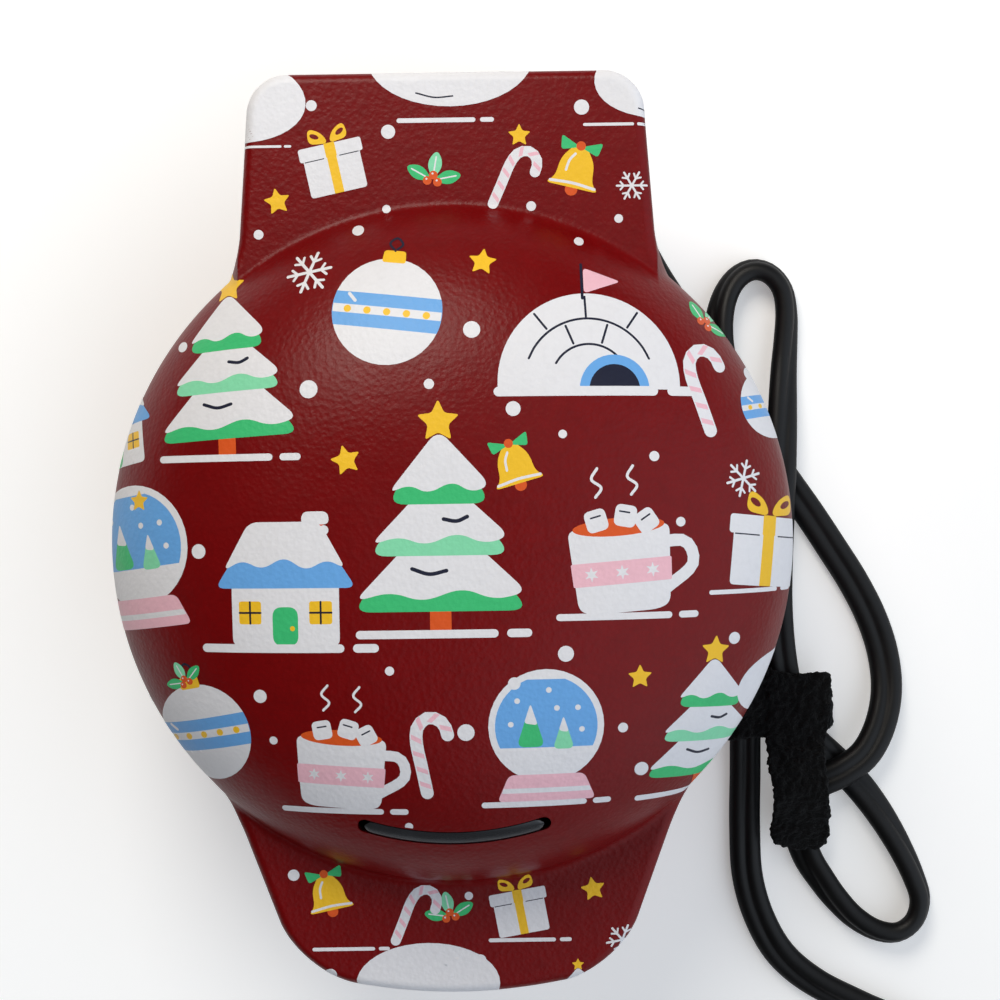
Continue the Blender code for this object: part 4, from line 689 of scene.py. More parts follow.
def smoke_finish(colour):
    finish = Finish("smoky light pipe", colour, 0.16, specular_ior_level=0.55, coat_weight=0.2)
    flow = finish.noise(0.006, stretch=(1, 3, 1))
    speck = finish.noise(0.0006, 3.0)
    tone = finish.mix(flow, toned(colour, 0.7), toned(colour, 1.5))
    normal = finish.bump(flow, 0.0002, 0.25)
    return finish.worn(tone, finish.between(speck, 0.12, 0.26), normal)


def lamp_finish():
    finish = Finish("lamp glass", (0.80, 0.36, 0.12), 0.08, transmission_weight=0.75, ior=1.5)
    sooty = finish.noise(0.003, 3.0)
    tone = finish.mix(sooty, (0.88, 0.48, 0.20), (0.62, 0.22, 0.06))
    normal = finish.bump(finish.noise(0.0012, 1.0), 0.0001, 0.3)
    return finish.worn(tone, finish.between(sooty, 0.05, 0.16), normal)


def resin_finish():
    finish = Finish("brown resin", (0.10, 0.045, 0.022), 0.48)
    chips = finish.noise(0.0009, 4.0, 0.7)
    stops = ((0.35, (0.055, 0.022, 0.012)), (0.55, (0.11, 0.050, 0.024)), (0.72, (0.19, 0.10, 0.05)))
    normal = finish.bump(chips, 0.00008, 0.5)
    tone = finish.ramp(chips, *stops)
    return finish.worn(tone, finish.between(chips, 0.38, 0.6), normal)


def sleeve_finish():
    """Braided glass-fibre sleeve: two crossing sets of strands, a little yellowed, with painted shade in the gaps
    between them.
    """
    finish = Finish("braided sleeve", (0.62, 0.56, 0.43), 0.72)
    x, y, z = finish.axes()
    per_metre = 5200.0
    strands = [(x * 0.6 + y + z) * per_metre, (x * 0.6 - y + z) * per_metre]
    weave = [abs(run.math("SINE", run)) for run in strands]
    braid = weave[0].math("MAXIMUM", weave[0], weave[1])
    stain = finish.noise(0.007, 3.0)
    tone = finish.mix(stain, (0.68, 0.63, 0.52), (0.52, 0.42, 0.26))
    # Painted shade: where the braid is low, between the strands, the colour is darkened.
    tone = finish.mix((0.75 - braid).clamped() * 2.0, tone, (0.22, 0.18, 0.12))
    normal = finish.bump(braid, 0.0002, 0.8)
    return finish.worn(tone, finish.between(stain, 0.62, 0.82), normal)


def ceramic_finish():
    finish = Finish("cream ceramic", (0.66, 0.62, 0.53), 0.55)
    body = finish.noise(0.0007, 4.0, 0.65)
    stain = finish.noise(0.008, 3.0)
    tone = finish.mix(stain, (0.70, 0.67, 0.60), (0.58, 0.51, 0.40))
    pits = (finish.cells(0.0016) < 0.10) * 0.35
    tone = finish.mix(pits, tone, (0.30, 0.26, 0.20))
    normal = finish.bump(body - pits, 0.0001, 0.6)
    return finish.worn(tone, finish.between(body, 0.42, 0.68), normal)


class Palette:
    """Every finish of the object, made once from the sidebar's colours."""

    def __init__(self, scene):
        sizes, colours = scene.waffle_sizes, scene.waffle_colours
        self.casing = casing_finish("crimson moulding", tuple(colours.crimson), sizes)
        inks = ("white", "green", "mint", "yellow", "blue", "pink", "orange", "navy", "crimson")
        self.inks = {ink: ink_finish(f"{ink} ink", tuple(getattr(colours, ink)), sizes) for ink in inks}
        self.coating = coating_finish(tuple(colours.coating))
        self.zinc = steel_finish("zinc-plated steel", (0.56, 0.56, 0.54), (0.46, 0.47, 0.48), 0.30)
        self.steel = steel_finish("dull steel", (0.40, 0.385, 0.36), (0.30, 0.28, 0.26), 0.40)
        self.tin = steel_finish("bright sheet", (0.66, 0.66, 0.64), (0.56, 0.55, 0.52), 0.26, (1, 0.05, 1))
        self.brass = steel_finish("plain brass", (0.74, 0.58, 0.30), (0.64, 0.47, 0.22), 0.26, (0.06, 1, 1))
        self.heated = heated_finish()
        self.vinyl = vinyl_finish(tuple(colours.vinyl))
        self.strap = strap_finish(tuple(colours.strap))
        self.rubber = rubber_finish()
        self.smoke = smoke_finish(tuple(colours.smoke))
        self.lamp = lamp_finish()
        self.resin = resin_finish()
        self.sleeve = sleeve_finish()
        self.ceramic = ceramic_finish()


def palette():
    """The finishes, made when the first operator asks for them."""
    if not hasattr(palette, "made"):
        palette.made = Palette(bpy.context.scene)
    return palette.made


# The casing

# Ring counts of the lid's top: over the dome, down to the edge, and on the rounded edge
LID_RINGS = (44, 44, 12)
LID_INNER_RINGS = (10, 9, 5)
# How far out the dome's rings reach, as a share of the casing's radius
DOME_RINGS_SHARE = 0.93
LUG_SLOT_X = 0.0225
LUG_SLOT_HALF_WIDTH = 0.0036
VENT_CIRCLE = 0.023
VENT_HALF_LENGTH = 0.0058
VENT_ROUNDING = 0.0012


def skin_rings(angles, plan, inset, dome_rings, skirt_rings, edge_rings):
    """Rings of the lid's top from near its middle outwards, closest at the seams and on the rounded edge."""
    cosines, sines = np.cos(angles), np.sin(angles)
    inner = DOME_RINGS_SHARE * (CASING_RADIUS - inset)
    reaches = [np.full(len(angles), inner * share) for share in np.linspace(0, 1, dome_rings + 1)[1:]]
    depths = EDGE_ROUND * (1 - np.cos(np.radians(np.linspace(90, 0, edge_rings))))
    edge = [crossings(plan, angles, inset + depth) for depth in depths]
    for step in np.linspace(0, 1, skirt_rings + 1)[1:-1]:
        share = step - 0.75 * math.sin(math.tau * step) / math.tau
        reaches.append(inner + share * (edge[0] - inner))
    reaches += edge
    rings = [ring(angles, r, lid_height(r * cosines, r * sines, plan, inset)) for r in reaches]
    return rings, edge[-1]


def arc_outline(half_width):
    """The light pipe's outline: a bar bent round the dome's axis, in front, with round ends."""
    half = math.degrees(math.asin(WINDOW_CHORD / 2 / WINDOW_CIRCLE))
    outline = arc(WINDOW_CIRCLE + half_width, -90 - half, -90 + half, 40)
    for side, start in ((1, 0), (-1, 180)):
        x, y = polar(WINDOW_CIRCLE, -90 + side * half)
        turn = side * half + start
        outline += arc(half_width, turn - 90, turn + 90, 10, (x, y))[1:-1]
        if side > 0:
            outline += arc(WINDOW_CIRCLE - half_width, -90 + half, -90 - half, 40)
    return outline


def lid_shell(sizes, material):
    """The domed moulding with its hinge block and handle, hollow inside, slotted for the light pipe."""
    angles = even_angles(sizes.ring_points)
    outer, outline = skin_rings(angles, lid_plan, 0, *LID_RINGS)
    inner, opening = skin_rings(angles, body_plan, WALL, *LID_INNER_RINGS)
    bevel = 0.00035
    low = [
        ring(angles, outline, LID_RIM + bevel),
        ring(angles, outline - 0.3 * bevel, LID_RIM + 0.3 * bevel),
        ring(angles, outline - bevel, LID_RIM),
        ring(angles, opening + bevel, LID_RIM),
        ring(angles, opening, LID_RIM + bevel),
    ]
    top = LID_RIM + LID_SIDE + DOME_HEIGHT
    vertices, faces = loft(outer + low + inner[::-1], (0, 0, top), (0, 0, top - WALL))
    shell = mesh_piece("lid_moulding", vertices, faces, material)
    cut_from(shell, [prism(arc_outline(SLOT_HALF_WIDTH), LID_RIM + LID_SIDE, top)])
    tidy_mesh(shell.data, 34)
    return shell


def laid_back(points, start):
    """Upright points laid down along the cord's way out, from a start behind the dome's axis."""
    return np.column_stack([points[:, 0], points[:, 2] + start, points[:, 1] + CORD_EXIT_HEIGHT])


def base_shell(sizes, material):
    """The bowl with its rear pillar, front lip, screw wells, foot holes, vents and lug slots."""
    angles = even_angles(sizes.ring_points)
    rings = []
    for turn in np.radians(np.linspace(0, 80, 7)):
        height = BASE_UNDERSIDE + BOWL_HEEL * (1 - math.cos(turn))
        rings.append(ring(angles, base_reach(angles, height, BOWL_HEEL * (1 - math.sin(turn))), height))
    lip_start = BASE_RIM - LIP_THICKNESS
    heights = list(np.linspace(BASE_UNDERSIDE + BOWL_HEEL, lip_start, 22)[:-1])
    heights += [lip_start + LIP_THICKNESS * share**2.2 for share in np.linspace(0, 1, 30)[:-1]]
    bevel = 0.0004
    heights = [height for height in heights if height < BASE_RIM - bevel] + [BASE_RIM - bevel]
    for height in heights:
        reach = base_reach(angles, height, 0, True)
        rings.append(ring(angles, reach, dropped(angles, reach, height)))
    reach = base_reach(angles, BASE_RIM, 0, True)
    for inset, drop in ((0.3 * bevel, 0.3 * bevel), (bevel, 0)):
        rings.append(ring(angles, reach - inset, dropped(angles, reach, BASE_RIM - drop)))
    for height in (BASE_RIM, 0.034, 0.026, 0.018, 0.012, BASE_FLOOR):
        rings.append(ring(angles, base_reach(angles, height, WALL), height))
    vertices, faces = loft(rings, (0, 0, BASE_UNDERSIDE), (0, 0, BASE_FLOOR))
    shell = mesh_piece("base_moulding", vertices, faces, material)

    inset_heights = np.linspace(BASE_UNDERSIDE + SEAT, BASE_RIM, 14)
    clip_rings = [ring(angles, base_reach(angles, height, SEAT), height) for height in inset_heights]
    clip = loft(clip_rings, (0, 0, BASE_UNDERSIDE + SEAT), (0, 0, BASE_RIM))
    below = 0.001
    posts = mesh_piece("screw wells", *joined([peg(0.0044, below, 0.030, 40, (*place, 0)) for place in BASE_SCREWS]))
    cut_from(posts, [clip], "INTERSECT")
    cut_from(shell, [taken(posts)], "UNION")

    bore = ((0, below), (0.0029, below), (0.0029, 0.0278), (0.0015, 0.0278), (0.0015, 0.0303), (0, 0.0303))
    holes = [turned_points(bore, 32, (*place, 0)) for place in BASE_SCREWS]
    holes += [peg(0.0025, below, 0.0112, 32, (*place, 0)) for place in FEET]
    vent = []
    for end, start in ((1, -90), (-1, 90)):
        vent += arc(VENT_ROUNDING, start, start + 180, 8, (VENT_CIRCLE + end * VENT_HALF_LENGTH, 0))
    holes += [prism(spun(vent, turn), below, 0.009) for turn in range(30, 360, 60)]
    points, faces = peg(0.0045, -0.004, 0.004, 40)
    holes.append((laid_back(points, PILLAR_REACH), faces))
    for x in (-LUG_SLOT_X, LUG_SLOT_X):
        left, right, front = x - LUG_SLOT_HALF_WIDTH, x + LUG_SLOT_HALF_WIDTH, 0.0689
        box = [(left, front), (right, front), (right, HINGE_REACH), (left, HINGE_REACH)]
        holes.append(prism(box, 0.0299, 0.0456))
    cut_from(shell, holes)
    tidy_mesh(shell.data, 34)
    return shell


def light_pipe(material):
    """The arc-shaped pipe: its face follows the dome a little below the skin, with softened edges."""
    half = math.degrees(math.asin(WINDOW_CHORD / 2 / WINDOW_CIRCLE))
    half_width, depth, sink = 0.00122, 0.0046, 0.00012
    stations = np.linspace(-90 - half, -90 + half, 60)
    across = np.array([-1, -1, -0.9, -0.6, 0, 0.6, 0.9, 1, 1])
    lower = np.array([depth, 0.0004, 0.00008, 0, 0, 0, 0.00008, 0.0004, depth])
    rings = []
    for number, angle in enumerate(stations):
        end = min(number, len(stations) - 1 - number)
        narrow = math.sqrt(1 - (1 - end / 3) ** 2) if end < 3 else 1
        x, y = polar(WINDOW_CIRCLE + across * half_width * max(narrow, 0.15), angle)
        rings.append(np.column_stack([x, y, lid_height(x, y) - sink - lower]))
    vertices, faces = loft(rings, rings[0].mean(0), rings[-1].mean(0))
    return mesh_piece("light_pipe", vertices, faces, material, sharp_angle=60)


class WAFFLE_OT_casing(Operator):
    """Build the lid's and the base's mouldings and the light pipe"""
    bl_idname = "waffle.casing"
    bl_label = "Casing"

    def execute(self, context):
        sizes, finishes = context.scene.waffle_sizes, palette()
        dress(lid_shell(sizes, finishes.casing), "lid", "red_shell", "lid_housing")
        dress(base_shell(sizes, finishes.casing), "base", "red_shell", "base_housing")
        dress(light_pipe(finishes.smoke), "lid", "window_grey", "indicator_window")
        return {"FINISHED"}


# The print: each motif is a list of inks and outlines about its foot, one unit tall or so

def disc(x, y, rx, ry=None, turn=0.0, steps=40):
    ry = rx if ry is None else ry
    c, s = math.cos(math.radians(turn)), math.sin(math.radians(turn))
    points = [(rx * math.cos(t), ry * math.sin(t)) for t in np.linspace(0, math.tau, steps, endpoint=False)]
    return [(x + px * c - py * s, y + px * s + py * c) for px, py in points]


def slice_of(x, y, radius, low, high):
    """The part of a disc between two heights, each a share of its radius."""
    first, last = math.degrees(math.asin(low)), math.degrees(math.asin(high))
    return arc(radius, first, last, 14, (x, y)) + arc(radius, 180 - last, 180 - first, 14, (x, y))


def soft(corners, rounding):
    """A closed outline with its corners rounded, each by the same length along its sides."""
    corners = np.array(corners, float)
    outline = []
    for before, corner, after in zip(np.roll(corners, 1, 0), corners, np.roll(corners, -1, 0)):
        ends = []
        for other in (before, after):
            run = np.linalg.norm(other - corner)
            ends.append(corner + (other - corner) * min(rounding / run, 0.5))
        for share in np.linspace(0, 1, 8):
            first, last = ends[0] + (corner - ends[0]) * share, corner + (ends[1] - corner) * share
            outline.append(tuple(first + (last - first) * share))
    return outline


def line(points, width):
    """A pen stroke through the points, with round ends."""
    points, _ = smooth_route(np.column_stack([points, np.zeros(len(points))]), width * 0.6)
    points = points[:, :2]
    along = np.gradient(points, axis=0)
    along /= np.linalg.norm(along, axis=1)[:, None]
    side = np.column_stack([-along[:, 1], along[:, 0]]) * width / 2
    outline = []
    for centre, edge in ((points, side), (points[::-1], -side[::-1])):
        outline += (centre + edge).tolist()
        heading = math.degrees(math.atan2(edge[-1][1], edge[-1][0]))
        outline += arc(width / 2, heading, heading - 180, 8, tuple(centre[-1]))[1:-1]
    return outline


def slab(foot_half, foot, top_half, top, rounding, x=0.0):
    """A shape with a level foot and top, even on both sides of x, with rounded corners."""
    corners = [(x - foot_half, foot), (x + foot_half, foot), (x + top_half, top), (x - top_half, top)]
    return soft(corners, rounding)


def star(x, y, radius, count=5, waist=0.48):
    corners = []
    for number in range(2 * count):
        reach = radius * (waist if number % 2 else 1)
        px, py = polar(reach, 90 + number * 180 / count)
        corners.append((x + px, y + py))
    return soft(corners, radius * 0.16)


def pine():
    shapes = [("orange", slab(0.05, 0, 0.05, 0.2, 0.02))]
    tiers = ((0.10, 0.42, 0.46, "green"), (0.36, 0.34, 0.38, "mint"), (0.60, 0.25, 0.34, "green"))
    for foot, half, rise, ink in tiers:
        snow = [(-half * 0.96, foot + 0.05), (-half * 0.55, foot + 0.095), (-half * 0.2, foot + 0.045)]
        snow += [(half * 0.25, foot + 0.11), (half * 0.6, foot + 0.05), (half * 0.97, foot + 0.085)]
        shapes += [
            (ink, soft([(-half, foot), (half, foot), (0, foot + rise)], 0.10)),
            ("white", soft(snow + [(0, foot + rise + 0.01)], 0.07)),
        ]
    return shapes + [
        ("navy", line([(-0.13, 0.30), (-0.05, 0.275), (0.03, 0.29)], 0.018)),
        ("navy", line([(0.02, 0.53), (0.08, 0.52), (0.13, 0.54)], 0.018)),
        ("yellow", star(0, 0.985, 0.105)),
    ]


def bauble():
    return [
        ("white", disc(0, 0.5, 0.5)),
        ("blue", slice_of(0, 0.5, 0.5, -0.34, 0.30)),
        ("white", slice_of(0, 0.5, 0.495, -0.10, 0.06)),
        *(("yellow", disc(x, 0.488, 0.034, steps=16)) for x in np.linspace(-0.36, 0.36, 5)),
        ("yellow", slab(0.11, 0.96, 0.10, 1.08, 0.03)),
        ("navy", line([(0, 1.08), (-0.06, 1.15), (0.0, 1.21), (0.06, 1.15), (0.01, 1.09)], 0.022)),
        ("white", line([(-0.36, 0.63), (-0.30, 0.57)], 0.03)),
    ]


def igloo():
    joints = ((55, 0.39, 0.50), (92, 0.38, 0.50), (128, 0.39, 0.50), (72, 0.24, 0.35), (112, 0.24, 0.35))
    return [
        ("white", arc(0.52, 0, 180, 40) + [(-0.52, -0.04), (0.52, -0.04)]),
        ("navy", line(arc(0.37, 22, 158, 12), 0.013)),
        ("navy", line(arc(0.22, 30, 150, 12), 0.013)),
        *(("navy", line([polar(near, angle), polar(far, angle)], 0.013)) for angle, near, far in joints),
        ("blue", arc(0.20, 0, 180, 20, (0.14, -0.04))),
        ("navy", arc(0.145, 0, 180, 20, (0.14, -0.04))),
        ("pink", soft([(-0.02, 0.52), (0.20, 0.60), (-0.02, 0.68)], 0.03)),
        ("navy", line([(-0.03, 0.49), (-0.03, 0.70)], 0.016)),
    ]


def cottage():
    snow = [(-0.44, 0.52), (-0.30, 0.60), (-0.16, 0.53), (0.0, 0.62), (0.15, 0.52), (0.30, 0.60), (0.43, 0.53)]
    shapes = [
        ("white", slab(0.38, 0, 0.38, 0.45, 0.05)),
        ("orange", slab(0.06, 0.6, 0.06, 0.88, 0.02, 0.22)),
        ("white", slab(0.10, 0.84, 0.09, 0.93, 0.045, 0.22)),
        ("blue", slab(0.50, 0.40, 0.24, 0.80, 0.07)),
        ("white", soft(snow + [(0.25, 0.86), (-0.25, 0.86)], 0.07)),
        ("green", slab(0.09, 0, 0.09, 0.27, 0.07)),
        ("yellow", disc(0.05, 0.12, 0.018, steps=12)),
    ]
    for x in (-0.25, 0.25):
        shapes += [
            ("yellow", slab(0.08, 0.15, 0.08, 0.31, 0.02, x)),
            ("navy", line([(x, 0.155), (x, 0.305)], 0.014)),
            ("navy", line([(x - 0.075, 0.23), (x + 0.075, 0.23)], 0.014)),
        ]
    return shapes


def mug():
    cup = [(-0.36, 0.04), (-0.26, 0), (0.26, 0), (0.36, 0.04), (0.40, 0.66), (-0.40, 0.66)]
    shapes = [
        ("white", line([(0.32, 0.52), (0.52, 0.50), (0.56, 0.32), (0.34, 0.16)], 0.095)),
        ("white", soft(cup, 0.07)),
        ("pink", slab(0.385, 0.22, 0.395, 0.40, 0.015)),
        *(("white", star(x, 0.31, 0.06, 6, 0.4)) for x in (-0.24, 0.0, 0.24)),
        ("orange", disc(0, 0.66, 0.36, 0.07)),
    ]
    for x, y, turn in ((-0.17, 0.72, 12), (0.06, 0.74, -14), (0.22, 0.69, 30)):
        c, s = polar(0.085, turn)
        cube = [(x - c + s, y - s - c), (x + c + s, y + s - c), (x + c - s, y + s + c), (x - c - s, y - s + c)]
        crease = [(x - c * 0.5, y - s * 0.5 + 0.03), (x + c * 0.4, y + s * 0.4 + 0.03)]
        shapes += [("white", soft(cube, 0.05)), ("navy", line(crease, 0.013))]
    for x in (-0.16, 0.12):
        steam = [(x, 0.90), (x + 0.05, 0.97), (x - 0.02, 1.04), (x + 0.03, 1.12)]
        shapes.append(("white", line(steam, 0.022)))
    return shapes


def globe():
    shapes = [
        ("white", disc(0, 0.60, 0.44)),
        ("blue", slice_of(0, 0.60, 0.39, -0.55, 0.93)),
        ("white", slice_of(0, 0.60, 0.392, -0.93, -0.42)),
    ]
    for x, foot, size, ink in ((-0.12, 0.44, 0.34, "green"), (0.13, 0.42, 0.26, "mint")):
        top = (x, foot + size)
        snow = [(x - size * 0.15, foot + size * 0.55), (x + size * 0.16, foot + size * 0.5), top]
        tree = [(x - size * 0.32, foot), (x + size * 0.32, foot), top]
        shapes += [(ink, soft(tree, size * 0.2)), ("white", soft(snow, 0.03))]
    flakes = ((-0.22, 0.80), (0.02, 0.88), (0.24, 0.74), (0.08, 0.74), (-0.27, 0.62), (0.27, 0.57))
    return shapes + [
        *(("white", disc(x, y, 0.022, steps=12)) for x, y in flakes),
        ("pink", slab(0.38, 0, 0.29, 0.22, 0.05)),
        ("white", slab(0.345, 0.07, 0.33, 0.11, 0.01)),
    ]


def gift():
    shapes = [
        ("white", slab(0.42, 0, 0.42, 0.60, 0.05)),
        ("yellow", slab(0.07, 0, 0.07, 0.62, 0.01)),
        ("white", slab(0.47, 0.54, 0.47, 0.74, 0.04)),
        ("yellow", slab(0.08, 0.54, 0.08, 0.75, 0.01)),
        ("navy", line([(-0.40, 0.535), (-0.12, 0.535)], 0.014)),
        ("navy", line([(0.12, 0.535), (0.40, 0.535)], 0.014)),
    ]
    for side in (-1, 1):
        loop = [(0, 0.74), (side * 0.30, 0.78), (side * 0.27, 1.02), (side * 0.08, 0.92)]
        shapes += [("yellow", soft(loop, 0.10)), ("crimson", disc(side * 0.19, 0.88, 0.07, 0.035, side * 30, 20))]
    return shapes


def cane():
    hook = [(0, 0), (0, 0.35), (0, 0.68), (0.06, 0.88), (0.22, 0.96), (0.37, 0.86), (0.40, 0.70)]
    shapes = [("white", line(hook, 0.16))]
    path, _ = smooth_route(np.column_stack([hook, np.zeros(len(hook))]), 0.01)
    for share in np.linspace(0.08, 0.94, 7):
        index = int(share * (len(path) - 1))
        run = path[min(index + 2, len(path) - 1)] - path[max(index - 2, 0)]
        heading = math.atan2(run[1], run[0])
        across = np.array([math.cos(heading + 1.05), math.sin(heading + 1.05)]) * 0.074
        lean = np.array([math.cos(heading), math.sin(heading)]) * 0.032
        corners = ((-1, -1), (-1, 1), (1, 1), (1, -1))
        shapes.append(("pink", [tuple(path[index][:2] + sign * across + way * lean) for sign, way in corners]))
    return shapes


def bell():
    left = [(-0.44, 0.16), (-0.30, 0.28), (-0.27, 0.60), (-0.10, 0.84)]
    return [
        ("orange", disc(0, 0.13, 0.10)),
        ("yellow", soft(left + [(-x, y) for x, y in left[::-1]], 0.12)),
        ("white", line([(-0.36, 0.21), (0, 0.235), (0.36, 0.21)], 0.045)),
        ("white", line([(-0.15, 0.42), (-0.13, 0.58), (-0.06, 0.70)], 0.04)),
        *(("green", soft([(0, 0.82), (side * 0.30, 0.72), (side * 0.34, 0.96)], 0.06)) for side in (-1, 1)),
        ("orange", disc(0, 0.84, 0.075)),
    ]


def sprig():
    shapes = []
    for turn, leaf in ((20, "green"), (90, "mint"), (160, "green")):
        (x, y), (wide_x, wide_y) = polar(0.32, turn), polar(0.17, turn + 90)
        edge = [(0, 0), (x + wide_x, y + wide_y), polar(0.62, turn), (x - wide_x, y - wide_y)]
        shapes += [(leaf, soft(edge, 0.16)), ("white", line([polar(0.16, turn), polar(0.46, turn)], 0.028))]
    for x, y in ((-0.10, -0.02), (0.10, -0.02), (0, 0.10)):
        shapes += [("orange", disc(x, y, 0.085, steps=20)), ("white", disc(x - 0.02, y + 0.03, 0.02, steps=10))]
    return shapes


def flake():
    shapes = [("white", line([polar(0.5, turn), polar(0.5, turn + 180)], 0.07)) for turn in (0, 60, 120)]
    for turn in range(0, 360, 60):
        x, y = polar(0.27, turn)
        for lean in (-50, 50):
            dx, dy = polar(0.17, turn + lean)
            shapes.append(("white", line([(x, y), (x + dx, y + dy)], 0.06)))
    return shapes


def mound():
    return [
        ("white", disc(0, 0.42, 0.72, 0.42)),
        ("navy", line([(-0.30, 0.12), (-0.14, 0.08), (0.02, 0.09)], 0.014)),
    ]


def spark():
    return [("yellow", star(0, 0, 0.5))]


def dot():
    return [("white", disc(0, 0, 0.5, steps=20))]


def ground():
    return [("white", line([(-0.5, 0), (0.30, 0)], 0.05)), ("white", line([(0.40, 0), (0.5, 0)], 0.05))]


# Half the width that the print leaves free for the light pipe
PRINT_STOP = 0.0016
# How far from the axis the even grid of film points reaches before the skin's rings take over
DOME_GRID = 0.052
# Each motif's place about the dome's axis and its size, in millimetres, and its turn in degrees
LAYOUT = (
    (mound, 1, 79.5, 21, 0), (mound, -40, 73.5, 19, -6), (mound, 41, 77.0, 18, 5),
    (ground, 0, 77.0, 17, 0), (ground, 31, 75.8, 11, 0), (ground, -33, 72.6, 9, 0),
    (gift, -19.5, 64.0, 12.5, 12), (sprig, -2.5, 66.0, 9.5, -10), (cane, 8.5, 61.5, 12.0, -24),
    (bell, 22.5, 62.5, 11.5, -14), (spark, -31.0, 62.5, 5.2, 10), (spark, 13.5, 74.0, 4.4, 0),
    (flake, 34.0, 64.5, 5.5, 0), (dot, -10.5, 75.0, 2.6, 0), (dot, -24.5, 80.0, 2.0, 0), (dot, 25.0, 79.0, 2.8, 0),
    (dot, -11.0, 60.8, 1.6, 0), (dot, 15.5, 61.0, 1.8, 0), (dot, 31.5, 58.5, 1.6, 0), (dot, -34.5, 56.5, 1.8, 0),
    (pine, -38.5, 15.5, 32, 3), (ground, -38.5, 15.3, 25, 0), (bauble, -11.5, 31.0, 19.5, -7),
    (igloo, 25.0, 27.5, 31, 0), (ground, 26.0, 26.0, 34, 0), (cane, 46.5, 19.0, 15, 18),
    (spark, 6.5, 49.5, 5.4, -8), (sprig, 47.0, 39.0, 9, -40), (flake, -24.5, 48.5, 8.0, 10),
    (pine, -1.5, -15.5, 37, 0), (ground, -1.0, -15.7, 29, 0),
    (mug, 30.5, -12.5, 22.5, 4), (ground, 31.0, -13.2, 24, 0),
    (cottage, -28.5, -17.5, 25, 0), (ground, -28.0, -18.0, 30, 0), (globe, -55.0, -15.0, 25, 8),
    (gift, 56.5, -9.0, 17, -6), (ground, 54.0, -9.6, 16, 0), (spark, -17.5, 14.5, 5.6, 14),
    (bell, 13.0, 8.5, 10.5, 16), (flake, 52.5, 10.5, 6.5, 15), (bauble, 60.5, 18.0, 13, 10),
    (bauble, -43.0, -43.0, 18.5, 12), (mug, -20.0, -47.0, 20, -3), (ground, -19.5, -47.6, 22, 0),
    (pine, 45.0, -46.5, 27, -4), (ground, 44.0, -46.9, 22, 0),
    (globe, 16.5, -46.0, 23, 0), (ground, 16.5, -46.5, 22, 0),
    (cane, -4.5, -44.0, 14, 10), (spark, 33.0, -24.0, 4.6, 0), (sprig, -47.5, -24.5, 7.5, 30),
    (mound, 63.5, -33.0, 15, 12), (cottage, -62.0, 14.0, 19, 10), (spark, -56.0, 8.0, 4.2, 0),
    (dot, -16.0, 56.5, 2.2, 0), (dot, 24.0, 54.0, 1.8, 0), (dot, -3.0, 27.5, 1.8, 0), (dot, 4.5, 37.0, 3.0, 0),
    (dot, -24.0, 27.0, 3.2, 0), (dot, -21.5, 2.5, 1.7, 0), (dot, 11.5, 23.0, 2.6, 0), (dot, -48.5, 36.0, 2.0, 0),
    (dot, 36.0, 14.5, 1.8, 0), (dot, 20.0, -19.5, 2.8, 0), (dot, -10.5, -22.0, 1.6, 0), (dot, 11.0, -24.5, 2.2, 0),
    (dot, -44.0, -1.0, 2.6, 0), (dot, -33.5, -26.5, 2.4, 0), (dot, 30.0, -33.0, 1.8, 0), (dot, 50.5, -18.0, 2.2, 0),
    (dot, -57.0, -29.0, 1.8, 0), (dot, -31.5, -34.5, 1.5, 0), (dot, 33.5, -41.0, 2.6, 0), (dot, 2.5, -33.0, 3.0, 0),
    (dot, 55.5, 30.0, 2.6, 0), (dot, 40.5, 3.0, 1.7, 0), (dot, 20.0, 18.5, 1.5, 0), (dot, -8.0, -50.5, 1.5, 0),
    (gift, 12.5, -75.0, 11.5, 10), (sprig, -1.5, -71.5, 9.0, 12), (cane, -12.0, -76.0, 12.0, -22),
    (bell, -23.5, -71.5, 10.5, 12), (spark, 25.5, -66.5, 5.0, 10), (mound, -6.0, -92.5, 19, 0),
    (ground, 13.5, -76.2, 15, 0), (ground, -20.5, -77.5, 14, 0),
    (flake, 31.0, -76.5, 6.0, 10), (pine, 22.5, -93.0, 12, 0),
    (dot, -31.0, -63.0, 2.2, 0), (dot, 4.0, -80.0, 2.2, 0), (dot, -24.5, -82.5, 2.4, 0), (dot, 2.0, -67.5, 1.6, 0),
)


def outlines():
    """Every motif's inks and outlines where they lie on the lid, in metres, the window's slot last of all."""
    shapes = []
    for motif, x, y, size, turn in LAYOUT:
        c, s = polar(size * 0.001, turn)
        for ink, outline in motif():
            places = np.array(outline) @ np.array([[c, s], [-s, c]]) + (x * 0.001, y * 0.001)
            shapes.append((ink, places))
    shapes.append((None, np.array(arc_outline(PRINT_STOP))))
    return shapes


def within(points, outline):
    """Which points lie inside a closed outline."""
    low, high = outline.min(0), outline.max(0)
    inside = np.zeros(len(points), bool)
    near = np.nonzero(np.all((points >= low) & (points <= high), axis=1))[0]
    x, y = points[near, 0], points[near, 1]
    found = np.zeros(len(near), bool)
    for (x0, y0), (x1, y1) in zip(outline, np.roll(outline, -1, 0)):
        crossing = (y0 > y) != (y1 > y)
        found ^= crossing & (x < x0 + (y - y0) / (y1 - y0 if y1 != y0 else 1) * (x1 - x0))
    inside[near] = found
    return inside


def topmost(points, shapes):
    """The number of the last shape that holds each point, or -1."""
    found = np.full(len(points), -1)
    for number, (_, outline) in enumerate(shapes):
        found[within(points, outline)] = number
    return found


